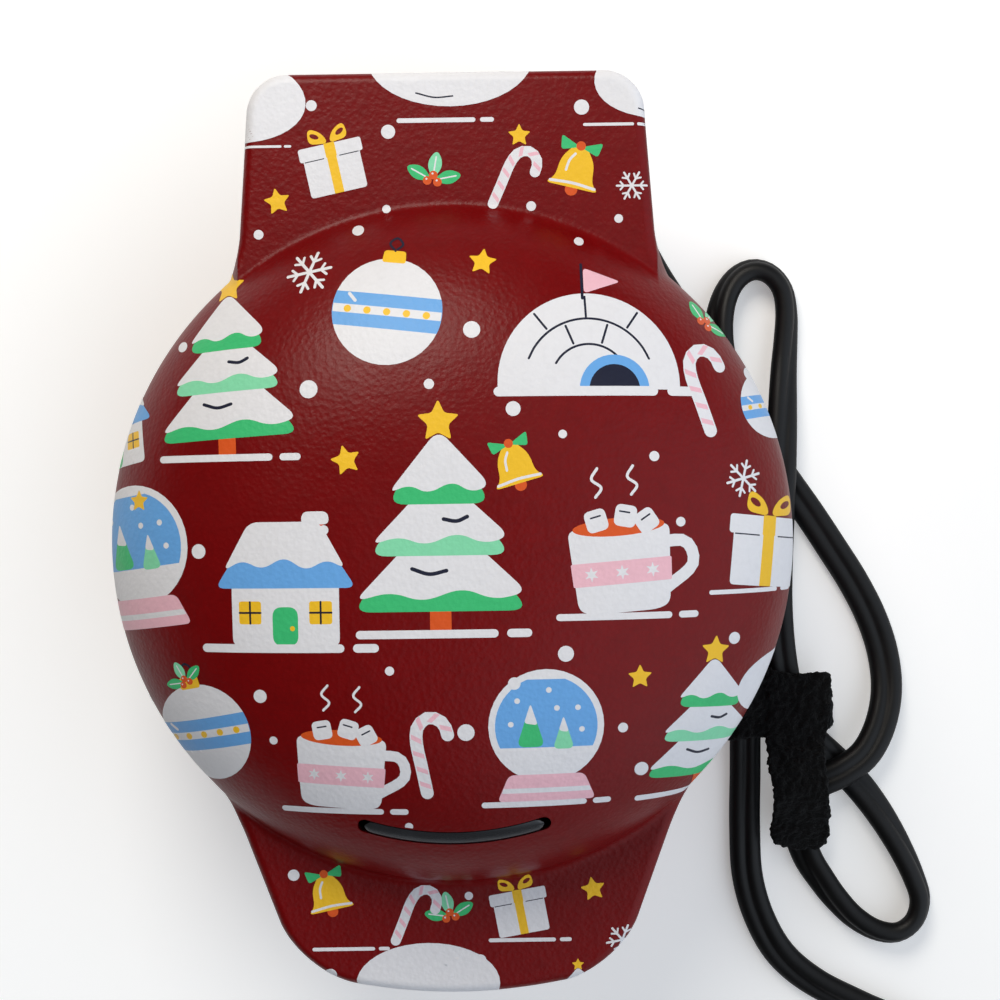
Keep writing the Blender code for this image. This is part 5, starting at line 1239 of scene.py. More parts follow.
def draped(points):
    """Plan places laid on the lid: over its top, and past its outline down its side; and which ones fall off."""
    x, y = points.T
    step = 0.00002
    field = lid_plan(x, y)
    slope = np.column_stack([lid_plan(x + step, y) - field, lid_plan(x, y + step) - field]) / step
    slope /= np.maximum(np.linalg.norm(slope, axis=1), 0.2)[:, None]
    past = np.maximum(field + 0.00002, 0)
    edge = points - slope * past[:, None]
    heights = lid_height(edge[:, 0], edge[:, 1]) - np.maximum(field, 0)
    lowest = LID_RIM + 0.0005
    return np.column_stack([edge, np.maximum(heights, lowest)]), heights < lowest


def film_points(shapes, sizes):
    """Points within the motifs: a triangular grid over the dome and the side, the skin's own rings between."""
    step = sizes.print_step * 0.001
    half_length, half_width = 0.102, 0.084
    grid = []
    for number, y in enumerate(np.arange(-half_length, half_length, step * 0.866)):
        xs = np.arange(-half_width, half_width, step) + (number % 2) * step / 2
        grid.append(np.column_stack([xs, np.full(len(xs), y)]))
    grid = np.vstack(grid)
    from_axis, field = np.hypot(*grid.T), lid_plan(*grid.T)
    on_side = (field > 0.0003) & (field < 0.017)
    grid = grid[(from_axis < DOME_GRID) | on_side]
    rings, _ = skin_rings(even_angles(sizes.ring_points), lid_plan, 0, *LID_RINGS)
    skin = np.vstack(rings)[:, :2]
    skin = skin[np.hypot(*skin.T) >= DOME_GRID]
    points = np.vstack([grid, skin])
    return points[topmost(points, shapes) >= 0]


def laid(place, skin, height):
    """The point a film's height over the skin's nearest place."""
    hit, normal, _, _ = skin.find_nearest(Vector(place))
    return hit + normal * height


def split_long_edges(mesh, skin, limit, height):
    """Halve the film's long edges on the steep sides, lay the new points on the skin and close up by triangles."""
    bm = bmesh.new()
    bm.from_mesh(mesh)
    for _ in range(3):
        long_edges = [edge for edge in bm.edges if edge.calc_length() > limit]
        if not long_edges:
            break
        known = set(bm.verts)
        bmesh.ops.subdivide_edges(bm, edges=long_edges, cuts=1)
        for vertex in bm.verts:
            if vertex not in known:
                vertex.co = laid(vertex.co, skin, height)
        bmesh.ops.triangulate(bm, faces=bm.faces[:])
    bm.to_mesh(mesh)
    bm.free()


def printed_film(shell, sizes, inks):
    """The printed motifs: a thin film just over the lid's skin, a material for each ink."""
    shapes = outlines()
    limit = sizes.print_step * 0.001
    points, edges = [film_points(shapes, sizes)], []
    count = len(points[0])
    for _, outline in shapes:
        runs = np.roll(outline, -1, 0) - outline
        fine = []
        for start, run in zip(outline, runs):
            parts = max(1, math.ceil(np.linalg.norm(run) / limit))
            fine += [start + run * share for share in np.linspace(0, 1, parts, endpoint=False)]
        points.append(np.array(fine))
        edges += [(count + i, count + (i + 1) % len(fine)) for i in range(len(fine))]
        count += len(fine)
    flat = [Vector(point) for point in np.vstack(points).tolist()]
    flat, _, faces, _, _, _ = delaunay_2d_cdt(flat, edges, [], 0, 1e-7, False)
    flat = np.array([tuple(point) for point in flat])
    faces = np.array([tuple(face) for face in faces])
    found = topmost(flat[faces].mean(1), shapes)
    places, lost = draped(flat)
    keep = (found >= 0) & (found < len(shapes) - 1) & ~lost[faces].all(1)
    faces, found = faces[keep], found[keep]

    bm = bmesh.new()
    bm.from_mesh(shell.data)
    skin = BVHTree.FromBMesh(bm)
    bm.free()
    used, faces = np.unique(faces, return_inverse=True)
    faces = faces.reshape(-1, 3)
    height = sizes.print_height
    vertices = [tuple(laid(place, skin, height)) for place in shifted(places[used])]
    mesh = bpy.data.meshes.new("printed_film")
    mesh.from_pydata(vertices, [], faces.tolist())
    names = list(inks)
    film = new_object("printed_film", mesh, *inks.values())
    mesh.polygons.foreach_set("material_index", [names.index(shapes[number][0]) for number in found])
    mesh.polygons.foreach_set("use_smooth", np.ones(len(found), bool))
    split_long_edges(mesh, skin, limit * 1.5, height)
    mesh.update()
    return film


class WAFFLE_OT_print(Operator):
    """Lay the printed winter pattern over the lid's skin"""
    bl_idname = "waffle.print"
    bl_label = "Print"

    def execute(self, context):
        shell = bpy.data.objects.get("lid_moulding")
        if shell is None:
            raise RuntimeError("The casing comes before its print")
        dress(printed_film(shell, context.scene.waffle_sizes, palette().inks), "lid", "red_shell")
        return {"FINISHED"}


# Cord, strain relief, tie and plug

# The cord's route about the dome's axis, in millimetres, from the strain relief to the plug
CORD_ROUTE = np.array((
    (0, 86, 13.5), (0, 87.5, 13.5),
    (0.8, 90.6, 13), (4.2, 92.6, 11.2), (10.6, 93.6, 8.4), (18.9, 92.7, 5.5), (26.6, 89.6, 3.4),
    (32.2, 82.4, 2.6), (35.6, 73.5, 2.6), (38.4, 64.1, 2.6), (42.5, 55.6, 2.6), (47.6, 47.4, 2.6),
    (53.3, 38.5, 2.6), (58.7, 29.2, 2.6), (64.2, 19.7, 2.6), (69.7, 11.3, 2.6), (74.9, 3.7, 2.6),
    (79.7, -3.8, 2.6), (84.3, -11.3, 2.6), (88, -18.9, 2.6), (90.3, -26.5, 2.7), (90.8, -34.1, 3.6),
    (89.1, -41.5, 5.8), (85.6, -47.6, 7.8), (80.4, -51.4, 8.3), (75.7, -53.7, 6.8), (72.6, -57, 4.4),
    (71.3, -61.3, 2.9), (72.1, -65.8, 2.6), (73.7, -70.3, 2.6), (76.2, -74.4, 2.6), (79.3, -78.7, 2.6),
    (83.2, -82.8, 2.6), (87.8, -85.6, 2.6), (92.4, -86.2, 2.6), (96, -83.7, 2.6), (97.3, -79.2, 2.6),
    (96, -74.3, 2.6), (93.3, -68.2, 2.6), (89.9, -62.1, 2.6), (86.3, -56.8, 2.6), (82.7, -52.5, 2.6),
    (79.1, -48.9, 3.1), (75.6, -45.6, 3.8), (72.5, -41.8, 4.2), (70.4, -36.9, 4.3), (68.9, -30.8, 4.3),
    (68, -23.6, 4.4), (67.6, -15.6, 4.8), (67.7, -7.6, 5.4), (68, 0.4, 6.6), (68.3, 7.4, 8.1),
    (68.6, 13.4, 8.6), (68.9, 19.4, 8), (69.3, 25.8, 6), (69.8, 32.8, 3.8), (70.4, 39.8, 2.8),
    (70.7, 46.2, 2.6), (69.9, 51.2, 2.6), (67.4, 54.5, 2.6), (64, 55.6, 2.6), (60.7, 54.3, 2.8),
    (58.1, 51.1, 3.6), (56.4, 46.4, 5.4), (55.8, 40.8, 7.7), (56.4, 34.8, 8.6), (57.2, 28.2, 8.6),
    (58.1, 21.7, 7.8), (59, 13.7, 6), (59.7, 4.6, 4.8), (60.2, -5.4, 4.4), (60.6, -15.4, 4.3),
    (60.8, -25.4, 4.3), (60.7, -35.4, 4.3), (60.5, -44.4, 3.9), (60.5, -52.3, 2.8), (60.3, -63.1, 2.6),
    (60.7, -73.7, 2.6), (63.2, -82.9, 2.6), (67.7, -90.8, 2.6), (74.8, -96.8, 2.6), (84.2, -101.5, 2.6),
    (94.2, -105.9, 2.6), (103.1, -112, 2.6), (108.1, -120.8, 2.6), (107.8, -130.9, 2.7), (102, -139.2, 3.4),
    (93, -144.1, 4.8), (85, -145.7, 6.1), (79, -145.8, 6.35),
))
# The cord's lowest points lie this far above the table, in metres
ABOVE_TABLE = 0.00004
# The plug's two ends, its place on the table and the distance between its blades, in metres
PLUG_FACE_X = 0.0467
PLUG_END_X = 0.0787
PLUG_Y = -0.1458
PLUG_HEIGHT = 0.00635
BLADE_APART = 0.0127
# How far the cord is turned on its edge, in degrees, at numbered points of the route
CORD_TURNS = (
    (0, 0), (14, 0), (20, 8), (24, 0), (29, 30), (32, 72), (37, 72), (41, 8), (48, 0), (53, 10),
    (57, 72), (62, 72), (65, 10), (74, 0), (79, 12), (83, 62), (86, 50), (89, 0),
)


def smooth_route(places, step):
    """Points an even step apart on a smooth curve through the places, and each one's place number."""
    knots = np.vstack([2 * places[0] - places[1], places, 2 * places[-1] - places[-2]])
    shares = np.linspace(0, 1, 24, endpoint=False)[:, None]
    fine = []
    for before, start, end, after in zip(knots, knots[1:], knots[2:], knots[3:]):
        curve = 2 * start + (end - before) * shares
        curve = curve + (2 * before - 5 * start + 4 * end - after) * shares**2
        curve = curve + (3 * start - before - 3 * end + after) * shares**3
        fine.append(curve / 2)
    fine = np.vstack(fine + [places[-1:]])
    number = np.linspace(0, len(places) - 1, len(fine))
    run = np.concatenate([[0], np.cumsum(np.linalg.norm(np.diff(fine, axis=0), axis=1))])
    wanted = np.linspace(0, run[-1], max(2, round(run[-1] / step)) + 1)
    points = np.column_stack([np.interp(wanted, run, fine[:, axis]) for axis in range(3)])
    return points, np.interp(wanted, run, number)


def softened(values, rounds):
    """Values with their kinks averaged out, the ends kept."""
    for _ in range(rounds):
        values = np.concatenate([values[:1], (values[:-2] + 2 * values[1:-1] + values[2:]) / 4, values[-1:]])
    return values


def twin_section(width, thickness):
    """Outline of a flat twin cord: two round conductors side by side with a groove between them."""
    radius = thickness / 2
    centre = width / 2 - radius
    waist = math.degrees(math.acos(-centre / radius)) - 7
    right = arc(radius, -waist, waist, 18, (centre, 0))
    return np.array(right + [(-x, -y) for x, y in right])


def cord_line(sizes):
    """The flat cord's centreline: the route, lowered so that the cord lies on the table and on itself."""
    points, number = smooth_route(CORD_ROUTE * 0.001, 0.0012)
    turns = softened(np.radians(np.interp(number, *zip(*CORD_TURNS))), 60)
    route_levels, cord_levels = (0.0026, 0.0043, 0.0086, 0.0135), (0.0021, 0.0042, 0.0066, 0.0135)
    heights = np.interp(points[:, 2], route_levels, cord_levels)
    free = np.clip(np.minimum(number / 4, (len(CORD_ROUTE) - 1 - number) / 3), 0, 1)
    heights = points[:, 2] + (heights - points[:, 2]) * free
    half = np.hypot(sizes.cord_width / 2 * np.sin(turns), sizes.cord_thickness / 2 * np.cos(turns))
    points[:, 2] = softened(np.maximum(heights, half + 0.00008), 20)
    return points, turns


def swept(points, turns, section):
    """A section carried along a line, rolled about it by the turns, as vertices and faces."""
    along = np.gradient(points, axis=0)
    along /= np.linalg.norm(along, axis=1)[:, None]
    side = np.cross((0, 0, 1), along)
    side /= np.linalg.norm(side, axis=1)[:, None]
    up = np.cross(along, side)
    cosine, sine = np.cos(turns)[:, None], np.sin(turns)[:, None]
    across, over = side * cosine + up * sine, up * cosine - side * sine
    rings = [point + section[:, :1] * a + section[:, 1:] * o for point, a, o in zip(points, across, over)]
    return loft(rings, points[0], points[-1])


def flat_cord(sizes, material):
    points, turns = cord_line(sizes)
    vertices, faces = swept(points, turns, twin_section(sizes.cord_width, sizes.cord_thickness))
    vertices[:, 2] = np.maximum(vertices[:, 2], ABOVE_TABLE)
    cord = mesh_piece("twin_cord", vertices, faces, material, sharp_angle=50)
    length = np.linalg.norm(np.diff(points, axis=0), axis=1).sum()
    return cord, shifted(points), float(length)


def cord_boot(material):
    """The strain relief: a tapered boot with flex grooves, behind the base's rear wall."""
    length, neck, first, last, groove = 0.0203, 0.005, 0.0042, 0.0034, 0.0006
    profile = [(0, 0), (0.0050, 0), (0.0052, 0.0002), (0.0052, 0.0014), (0.0050, 0.0016), (first, 0.0016)]
    pitch = (length - neck) / 5
    for number in range(4):
        middle = neck + (number + 1) * pitch
        for offset, depth in ((-0.3, 0), (-0.22, 0.5), (-0.14, 1), (0.14, 1), (0.22, 0.5), (0.3, 0)):
            height = middle + offset * pitch
            profile.append((first + (last - first) * height / length - depth * groove, height))
    profile += [(last, length - 0.0004), (last - 0.0004, length), (0, length)]
    vertices, faces = turned_points(profile, 48)
    return mesh_piece("cord_boot", laid_back(vertices, 0.0658), faces, material, sharp_angle=50)


def tie_band():
    """The strap's closed band round the cord's runs, as vertices and faces."""
    half_width, half_height, corner, thickness = 0.0115, 0.0044, 0.0035, 0.0013
    outline = np.array(round_box(half_width, half_height, corner, 8))
    inner = outline * [1 - thickness / half_width, 1 - thickness / half_height]
    front, back = -0.0431, -0.0266
    rings = []
    for section, y in ((outline, front), (outline, back), (inner, back), (inner, front), (outline, front)):
        slant = 0.001 - 0.36 * (section[:, 0] + half_width) if y == back else 0.10 * section[:, 0]
        rings.append(np.column_stack([section[:, 0] + 0.0673, y + slant, section[:, 1] + half_height]))
    return loft(rings)


def tie_tail():
    """The strap's loose end, laid over the lower fold, as vertices and faces."""
    steps = (-0.0301, -0.0431, -0.0466, -0.0511, -0.0561, -0.0611, -0.0674)
    heights = (0.0085, 0.0085, 0.0098, 0.0113, 0.0112, 0.0086, 0.0064)
    left_edge, right_edge, below, above = 0.0642, 0.0776, 0.0006, 0.0007
    places, _ = smooth_route(np.column_stack([np.zeros(len(steps)), steps, heights]), 0.0006)
    rings = []
    for share, (_, y, z) in zip(np.linspace(0, 1, len(places)), places):
        past = max(0.0, (share - 0.90) / 0.10)
        corner = 0.0036 * (1 - math.sqrt(max(0.0, 1 - past * past)))
        left = left_edge + 0.0012 * share + 0.0005 * math.sin(share * 11) + 1.2 * corner
        right = right_edge - 0.0010 * share + 0.0006 * math.sin(share * 8 + 1) - 0.5 * corner
        low, high, lift = z - below, z + above, 0.0006 * math.sin(share * 9)
        rings.append(np.array([(left, y, low), (right, y, low + lift), (right, y, high + lift), (left, y, high)]))
    return loft(rings, rings[0].mean(0), rings[-1].mean(0))


def cord_strap(material):
    """The hook-and-loop strap, remeshed finely and roughened into matted pile."""
    vertices, faces = joined([tie_band(), tie_tail()])
    strap = mesh_piece("hook_and_loop_strap", vertices, faces, material)
    remesh = strap.modifiers.new("pile", "REMESH")
    remesh.mode = "VOXEL"
    remesh.voxel_size = 0.00036
    smoothing = strap.modifiers.new("soft edges", "SMOOTH")
    smoothing.iterations = 3
    apply_modifiers(strap)
    mesh = strap.data
    normals = [vertex.normal.copy() for vertex in mesh.vertices]
    for vertex, normal in zip(mesh.vertices, normals):
        place = vertex.co
        clumps = noise.noise(place / 0.0024)
        loops = noise.noise(place / 0.0009)
        hooks = noise.noise(place / 0.0004)
        lift = 0.0004 * clumps + 0.00045 * loops + 0.0003 * hooks
        moved = place + normal * lift
        vertex.co = (moved.x, moved.y, max(moved.z, 0.00005))
    tidy_mesh(mesh)
    return strap


def plug_moulding(material):
    """The moulded plug: a neck that swells into a flat body with finger grips and a round-edged face."""
    places = (0, 0.003, 0.006, 0.010, 0.014, 0.018, 0.022, 0.030, 0.0317, 0.032)
    widths = (0.0064, 0.0068, 0.0082, 0.0150, 0.0213, 0.0232, 0.0238, 0.0240, 0.0232, 0.0222)
    heights = (0.0060, 0.0062, 0.0070, 0.0088, 0.0112, 0.0121, 0.0124, 0.0124, 0.0117, 0.0108)
    stations = np.concatenate([np.linspace(0, 0.0300, 96), np.linspace(0.0303, 0.032, 8)])
    wide = np.interp(stations, places, widths)
    high = np.interp(stations, places, heights)
    wide[:96], high[:96] = softened(wide[:96], 40), softened(high[:96], 40)
    turns = np.linspace(0, math.tau, 72, endpoint=False)
    roundness, grip_start, grip_run, pitch, depth = 0.62, 0.0135, 0.0125, 0.0025, 0.00055
    c, s = np.cos(turns), np.sin(turns)
    across, over = np.sign(c) * np.abs(c) ** roundness, np.sign(s) * np.abs(s) ** roundness
    rings = []
    for along, width, height in zip(stations, wide, high):
        past = min(max(along - grip_start, 0), grip_run)
        groove = depth * math.sin(past / grip_run * math.pi) * (0.5 - 0.5 * math.cos(past * math.tau / pitch))
        sides, top = across * (width / 2 - groove), over * height / 2
        rings.append(np.column_stack([np.full(len(turns), PLUG_END_X - along), sides + PLUG_Y, top + PLUG_HEIGHT]))
    vertices, faces = loft(rings, (PLUG_END_X, PLUG_Y, PLUG_HEIGHT), (PLUG_FACE_X, PLUG_Y, PLUG_HEIGHT))
    return mesh_piece("plug_moulding", vertices, faces, material, sharp_angle=40)


def plug_blade(number, side, material):
    """A flat blade with a rounded, chamfered tip and its hole."""
    back, tip, half, corner, half_gauge = 0.0464, 0.0299, 0.00315, 0.0016, 0.00075
    outline = [(back, -half), (back, half)]
    outline += arc(corner, 90, 180, 6, (tip + corner, half - corner))
    outline += arc(corner, 180, 270, 6, (tip + corner, corner - half))
    lying, faces = prism(outline, -half_gauge, half_gauge)
    blade = mesh_piece(f"plug_blade_brass_{number}", lying, faces, material)
    cut_from(blade, [peg(0.0015, -0.002, 0.002, 32, (tip + 0.004, 0, 0))])
    bevel = blade.modifiers.new("broken edges", "BEVEL")
    bevel.width = 0.00022
    bevel.segments = 3
    bevel.limit_method = "ANGLE"
    bevel.angle_limit = math.radians(40)
    apply_modifiers(blade)
    upright = Matrix(((1, 0, 0, 0), (0, 0, -1, 0), (0, 1, 0, 0), (0, 0, 0, 1)))
    blade.data.transform(Matrix.Translation((0, -CENTRE_Y, 0)))
    blade.data.transform(upright)
    blade.data.transform(Matrix.Translation((0, CENTRE_Y + PLUG_Y + side * BLADE_APART / 2, PLUG_HEIGHT)))
    tidy_mesh(blade.data, 40)
    return blade


class WAFFLE_OT_cord(Operator):
    """Build the flat twin cord with its boot, its strap and its plug"""
    bl_idname = "waffle.cord"
    bl_label = "Cord and plug"

    def execute(self, context):
        sizes, finishes = context.scene.waffle_sizes, palette()
        cord, path, length = flat_cord(sizes, finishes.vinyl)
        dress(cord, "base", "black_vinyl", "power_cord")
        dress(cord_boot(finishes.vinyl), "base", "black_vinyl", "strain_relief")
        strap = dress(cord_strap(finishes.strap), "base", "tie_fabric", "cord_tie")
        plug = dress(plug_moulding(finishes.vinyl), "base", "black_vinyl", "plug_body")
        for number, side in ((1, -1), (2, 1)):
            blade = plug_blade(number, side, finishes.brass)
            dress(blade, "base", "blade_brass", f"plug_blade_{number}")
        return {"FINISHED"}


# Cooking plates

# The level where the halves meet, and the lower plate's heights about it
PARTING = 0.042
PLATE_RADIUS = 0.0534
PLATE_FACE = -0.0005
PLATE_DISH = -0.0076
PLATE_BACK = -0.010
DECK_BACK = -0.0036
STUD_PITCH = 0.0156
STUD_FIELD = 0.0466
# The heater's ring: its bend, the angle that its cold ends leave free on each side, and how far they drop
ELEMENT_CIRCLE = 0.038
ELEMENT_GAP = 12.0
ELEMENT_DROP = 0.0105
SHIELD_GAUGE = 0.0007
SHIELD_HOLE = 0.0045


def set_half(piece, upper):
    """Lifts a piece, made cooking side up about zero, to the parting level, turned over for the lid."""
    turn = Matrix.Diagonal((-1, 1, -1, 1)) if upper else Matrix.Identity(4)
    piece.data.transform(Matrix.Translation((0, 0, PARTING)) @ turn)


def stud(x, y, edge):
    """A tapered cooking stud with rounded corners and a rounded top, as vertices and faces."""
    root, top, tip, base = PLATE_DISH - 0.0012, PLATE_DISH + 0.0044, 0.0043, 0.0059
    turns = np.radians(np.linspace(90, 0, 6))
    levels = [(tip - edge * (1 - math.cos(turn)), top - edge * (1 - math.sin(turn))) for turn in turns]
    levels += [(base - 0.0004, PLATE_DISH + 0.0009), (base, PLATE_DISH + 0.0003)]
    levels += [(base + 0.0005, PLATE_DISH + 0.00003), (base + 0.0005, root)]
    rings = []
    for half, height in levels:
        outline = round_box(half, half, min(0.0016, half * 0.6), 5)
        rings.append(np.array([(x + px, y + py, height) for px, py in outline]))
    return loft(rings, (x, y, top), (x, y, root))


def plate_body():
    """The cast dish: its rim, sloping wall and floor, with the corners between them rounded."""
    floor, corner, rim = PLATE_RADIUS - 0.0045, 0.0018, 0.0006
    profile = [(0, PLATE_DISH), (0.02, PLATE_DISH), (0.035, PLATE_DISH), (floor - corner, PLATE_DISH)]
    for turn in (0.3, 0.6, 0.9, 1.2):
        profile.append((floor - corner + corner * math.sin(turn), PLATE_DISH + corner * (1 - math.cos(turn))))
    profile += [(floor + 0.0011, -0.0016), (floor + 0.0013, -0.0009), (floor + 0.00165, PLATE_FACE - 0.00008)]
    profile += [(floor + 0.0021, PLATE_FACE), (PLATE_RADIUS - rim, PLATE_FACE)]
    profile += [(PLATE_RADIUS - rim / 4, PLATE_FACE - rim / 4), (PLATE_RADIUS, PLATE_FACE - rim)]
    profile += [(PLATE_RADIUS, PLATE_BACK + rim), (PLATE_RADIUS - rim, PLATE_BACK), (0, PLATE_BACK)]
    return turned_points(profile, 192)


def plate_ears():
    """Three flat ears that screw to the deck from behind."""
    half, root, top = 0.0038, 0.0515, DECK_BACK - SEAT
    outline = arc(half, -90, 90, 20, (EAR_CIRCLE, 0)) + [(root, half), (root, -half)]
    return [prism(spun(outline, angle), top - 0.0025, top) for angle in EARS]


def cooking_plate(name, upper, sizes, material):
    vertices, faces = plate_body()
    plate = mesh_piece(name, vertices, faces, material)
    shares = np.arange(6) - 2.5
    places = [(x * STUD_PITCH, y * STUD_PITCH) for y in shares for x in shares]
    studs = [stud(x, y, sizes.stud_edge) for x, y in places if math.hypot(x, y) < STUD_FIELD - SEAT]
    grid = mesh_piece("stud grid", *joined(studs))
    cut_from(grid, [peg(STUD_FIELD, PLATE_DISH - 0.0012, 0.001, 192)], "INTERSECT")
    bevel = grid.modifiers.new("cut studs", "BEVEL")
    bevel.width, bevel.segments, bevel.limit_method = 0.0004, 2, "ANGLE"
    bevel.angle_limit = math.radians(50)
    apply_modifiers(grid)
    cut_from(plate, [taken(grid)] + plate_ears(), "UNION")
    low = DECK_BACK - SEAT - 0.006
    cut_from(plate, [peg(0.0015, low, DECK_BACK, 24, (*polar(EAR_CIRCLE, angle), 0)) for angle in EARS])
    set_half(plate, upper)
    tidy_mesh(plate.data, 32)
    return plate


def element_tube(name, upper, material):
    """The tubular heater round the plate's back, its two cold ends turned away from the plate."""
    radius = 0.003
    level = PLATE_BACK - SEAT - radius
    around = [(x, y, level) for x, y in arc(ELEMENT_CIRCLE, 90 + ELEMENT_GAP, 450 - ELEMENT_GAP, 120)]
    x, y, _ = around[0]
    bend = radius * 4 / 3
    cold_end = [(x + bend, y, level - ELEMENT_DROP), (x + bend, y, level - bend), (x + radius, y, level - radius / 3)]
    other_end = [(-x, y, z) for x, y, z in cold_end[::-1]]
    points, _ = smooth_route(np.array(cold_end + around[3:-3] + other_end), 0.0012)
    heater = tube_piece(name, points, radius, material)
    set_half(heater, upper)
    return heater


def tube_piece(name, points, radius, material):
    """A round tube along a line, its section carried without twisting."""
    along = np.gradient(points, axis=0)
    along /= np.linalg.norm(along, axis=1)[:, None]
    side = np.cross(along[0], (1.0, 0.3, 0.2))
    side /= np.linalg.norm(side)
    turns = np.linspace(0, math.tau, 20, endpoint=False)[:, None]
    rings = []
    for point, direction in zip(points, along):
        side = side - direction * side.dot(direction)
        side /= np.linalg.norm(side)
        over = np.cross(direction, side)
        rings.append(point + radius * (np.cos(turns) * side + np.sin(turns) * over))
    vertices, faces = loft(rings, points[0], points[-1])
    return mesh_piece(name, vertices, faces, material, sharp_angle=50)


def reflector(name, upper, material):
    """The spun cup over the heater: a rounded corner, two stamped rings and a hole for the heater's ends."""
    top, gauge, radius, corner = PLATE_BACK - SEAT, SHIELD_GAUGE, 0.0475, 0.003
    low = top - 0.0088
    outer = [(radius, top), (radius, low + corner)]
    for turn in (0.4, 0.8, 1.2, 1.57):
        outer.append((radius - corner * (1 - math.cos(turn)), low + corner * (1 - math.sin(turn))))
    for near, far in ((0.034, 0.032), (0.014, 0.012)):
        outer += [(near, low), (near - 0.0006, low + 0.0003), (far + 0.0006, low + 0.0003), (far, low)]
    outer.append((0, low))
    wall = radius - gauge
    inner = [(0, low + gauge), (wall - corner, low + gauge), (wall, low + corner), (wall, top)]
    vertices, faces = turned_points((inner + outer)[::-1], 144)
    shield = mesh_piece(name, vertices, faces, material)
    x, y = polar(ELEMENT_CIRCLE, 90 - ELEMENT_GAP)
    for side in (-1, 1):
        # The holes overlap, so each is cut by itself
        cut_from(shield, [peg(SHIELD_HOLE, low - 0.002, low + 0.002, 32, (side * (x - 0.004), y, 0))])
    set_half(shield, upper)
    tidy_mesh(shield.data, 40)
    return shield


class WAFFLE_OT_plates(Operator):
    """Build both cooking plates with their studs, the heaters on their backs and the heat shields"""
    bl_idname = "waffle.plates"
    bl_label = "Cooking plates"

    def execute(self, context):
        sizes, finishes = context.scene.waffle_sizes, palette()
        for half, body, upper in (("upper", "lid", True), ("lower", "base", False)):
            plate = cooking_plate(f"{half}_cooking_plate", upper, sizes, finishes.coating)
            dress(plate, body, "plate_coating", f"{half}_plate")
            heater = element_tube(f"{half}_heater", upper, finishes.heated)
            dress(heater, body, "heater_steel", f"{half}_element")
            shield = reflector(f"{half}_heat_shield", upper, finishes.tin)
            dress(shield, body, "shield_tin", f"{half}_reflector")
        return {"FINISHED"}


# Screws, feet and hinge rod

def cross_recess(depth):
    """A tapered cross for the driver: two crossing wedges, each as vertices and faces."""
    parts = []
    for long_x in (True, False):
        rings = []
        for height, length, width in ((0.0002, 0.00165, 0.00046), (-depth, 0.0008, 0.00028)):
            x, y = (length, width) if long_x else (width, length)
            rings.append(np.array([(-x, -y, height), (x, -y, height), (x, y, height), (-x, y, height)]))
        parts.append(loft(rings, (0, 0, 0.0002), (0, 0, -depth)))
    return parts


def screw_mesh(length, material):
    """A pan-head screw with its head up at zero, a cross recess and turned ridges on its shank."""
    head, shank, seat, pitch = 0.0026, 0.0012, -0.0014, 0.0007
    tip = seat - length
    profile = [(0, 0), (0.0012, -0.00004), (0.0019, -0.00018), (0.0023, -0.00038), (0.00252, -0.0007)]
    profile += [(head, -0.0010), (head, -0.0013), (head - 0.0001, seat), (shank, seat)]
    height = seat
    while height > tip + 0.0016:
        profile += [(shank, height - 0.0001), (shank * 0.86, height - 0.0004), (shank, height - pitch)]
        height -= pitch
    profile += [(shank * 0.8, tip + 0.0006), (0, tip)]
    vertices, faces = turned_points(profile, 40)
    screw = mesh_piece("screw", vertices, faces, material)
    for wedge in cross_recess(0.0009):
        cut_from(screw, [wedge])
    tidy_mesh(screw.data, 30)
    mesh = screw.data
    bpy.data.objects.remove(screw)
    mesh.transform(Matrix.Translation((0, -CENTRE_Y, 0)))
    return mesh


def set_screw(name, mesh, place, face, up, node, body):
    """A screw with its head's face at a height, facing up or down, and turned about its axis by its place."""
    screw = new_object(name, mesh.copy())
    spin = Matrix.Rotation(place[0] * 90 + place[1] * 37, 4, "Z")
    turn = Matrix.Identity(4) if up else Matrix.Rotation(math.pi, 4, "X")
    screw.matrix_world = Matrix.Translation((place[0], place[1] + CENTRE_Y, face)) @ turn @ spin
    dress(screw, body, "screw_steel", node)


def foot(number, place, material):
    """A push-in rubber foot: its pad with a rounded edge and a shallow hollow, its stem and its barb."""
    profile = [(0, 0.0003), (0.0020, 0.0003), (0.0023, 0), (0.0053, 0), (0.0059, 0.00018), (0.0063, 0.0006)]
    profile += [(0.0065, 0.0013), (0.0065, 0.0041), (0.0063, 0.0046), (0.0060, 0.0047), (0.0022, 0.0047)]
    profile += [(0.0022, 0.0075), (0.0032, 0.0075), (0.0031, 0.0079), (0.0014, 0.0096), (0.0009, 0.0097)]
    profile.append((0, 0.0097))
    vertices, faces = turned_points(profile, 56, (*place, 0))
    return mesh_piece(f"rubber_foot_{number}", vertices, faces, material, sharp_angle=45)


def rod(material):
    """The hinge rod, lying across, with its ends rounded."""
    half, radius, round_off = 0.0288, 0.002, 0.0005
    end = [(0, half), (radius - round_off, half), (radius - 0.3 * round_off, half - 0.3 * round_off)]
    end += [(radius, half - round_off), (radius, 0.5 * half)]
    vertices, faces = turned_points(end + [(radius, 0)] + [(reach, -along) for reach, along in end[::-1]], 40)
    lying = np.column_stack([vertices[:, 2], vertices[:, 0] + HINGE_AXIS_Y, vertices[:, 1] + HINGE_AXIS_HEIGHT])
    return mesh_piece("steel_rod", lying, faces, material, sharp_angle=50)


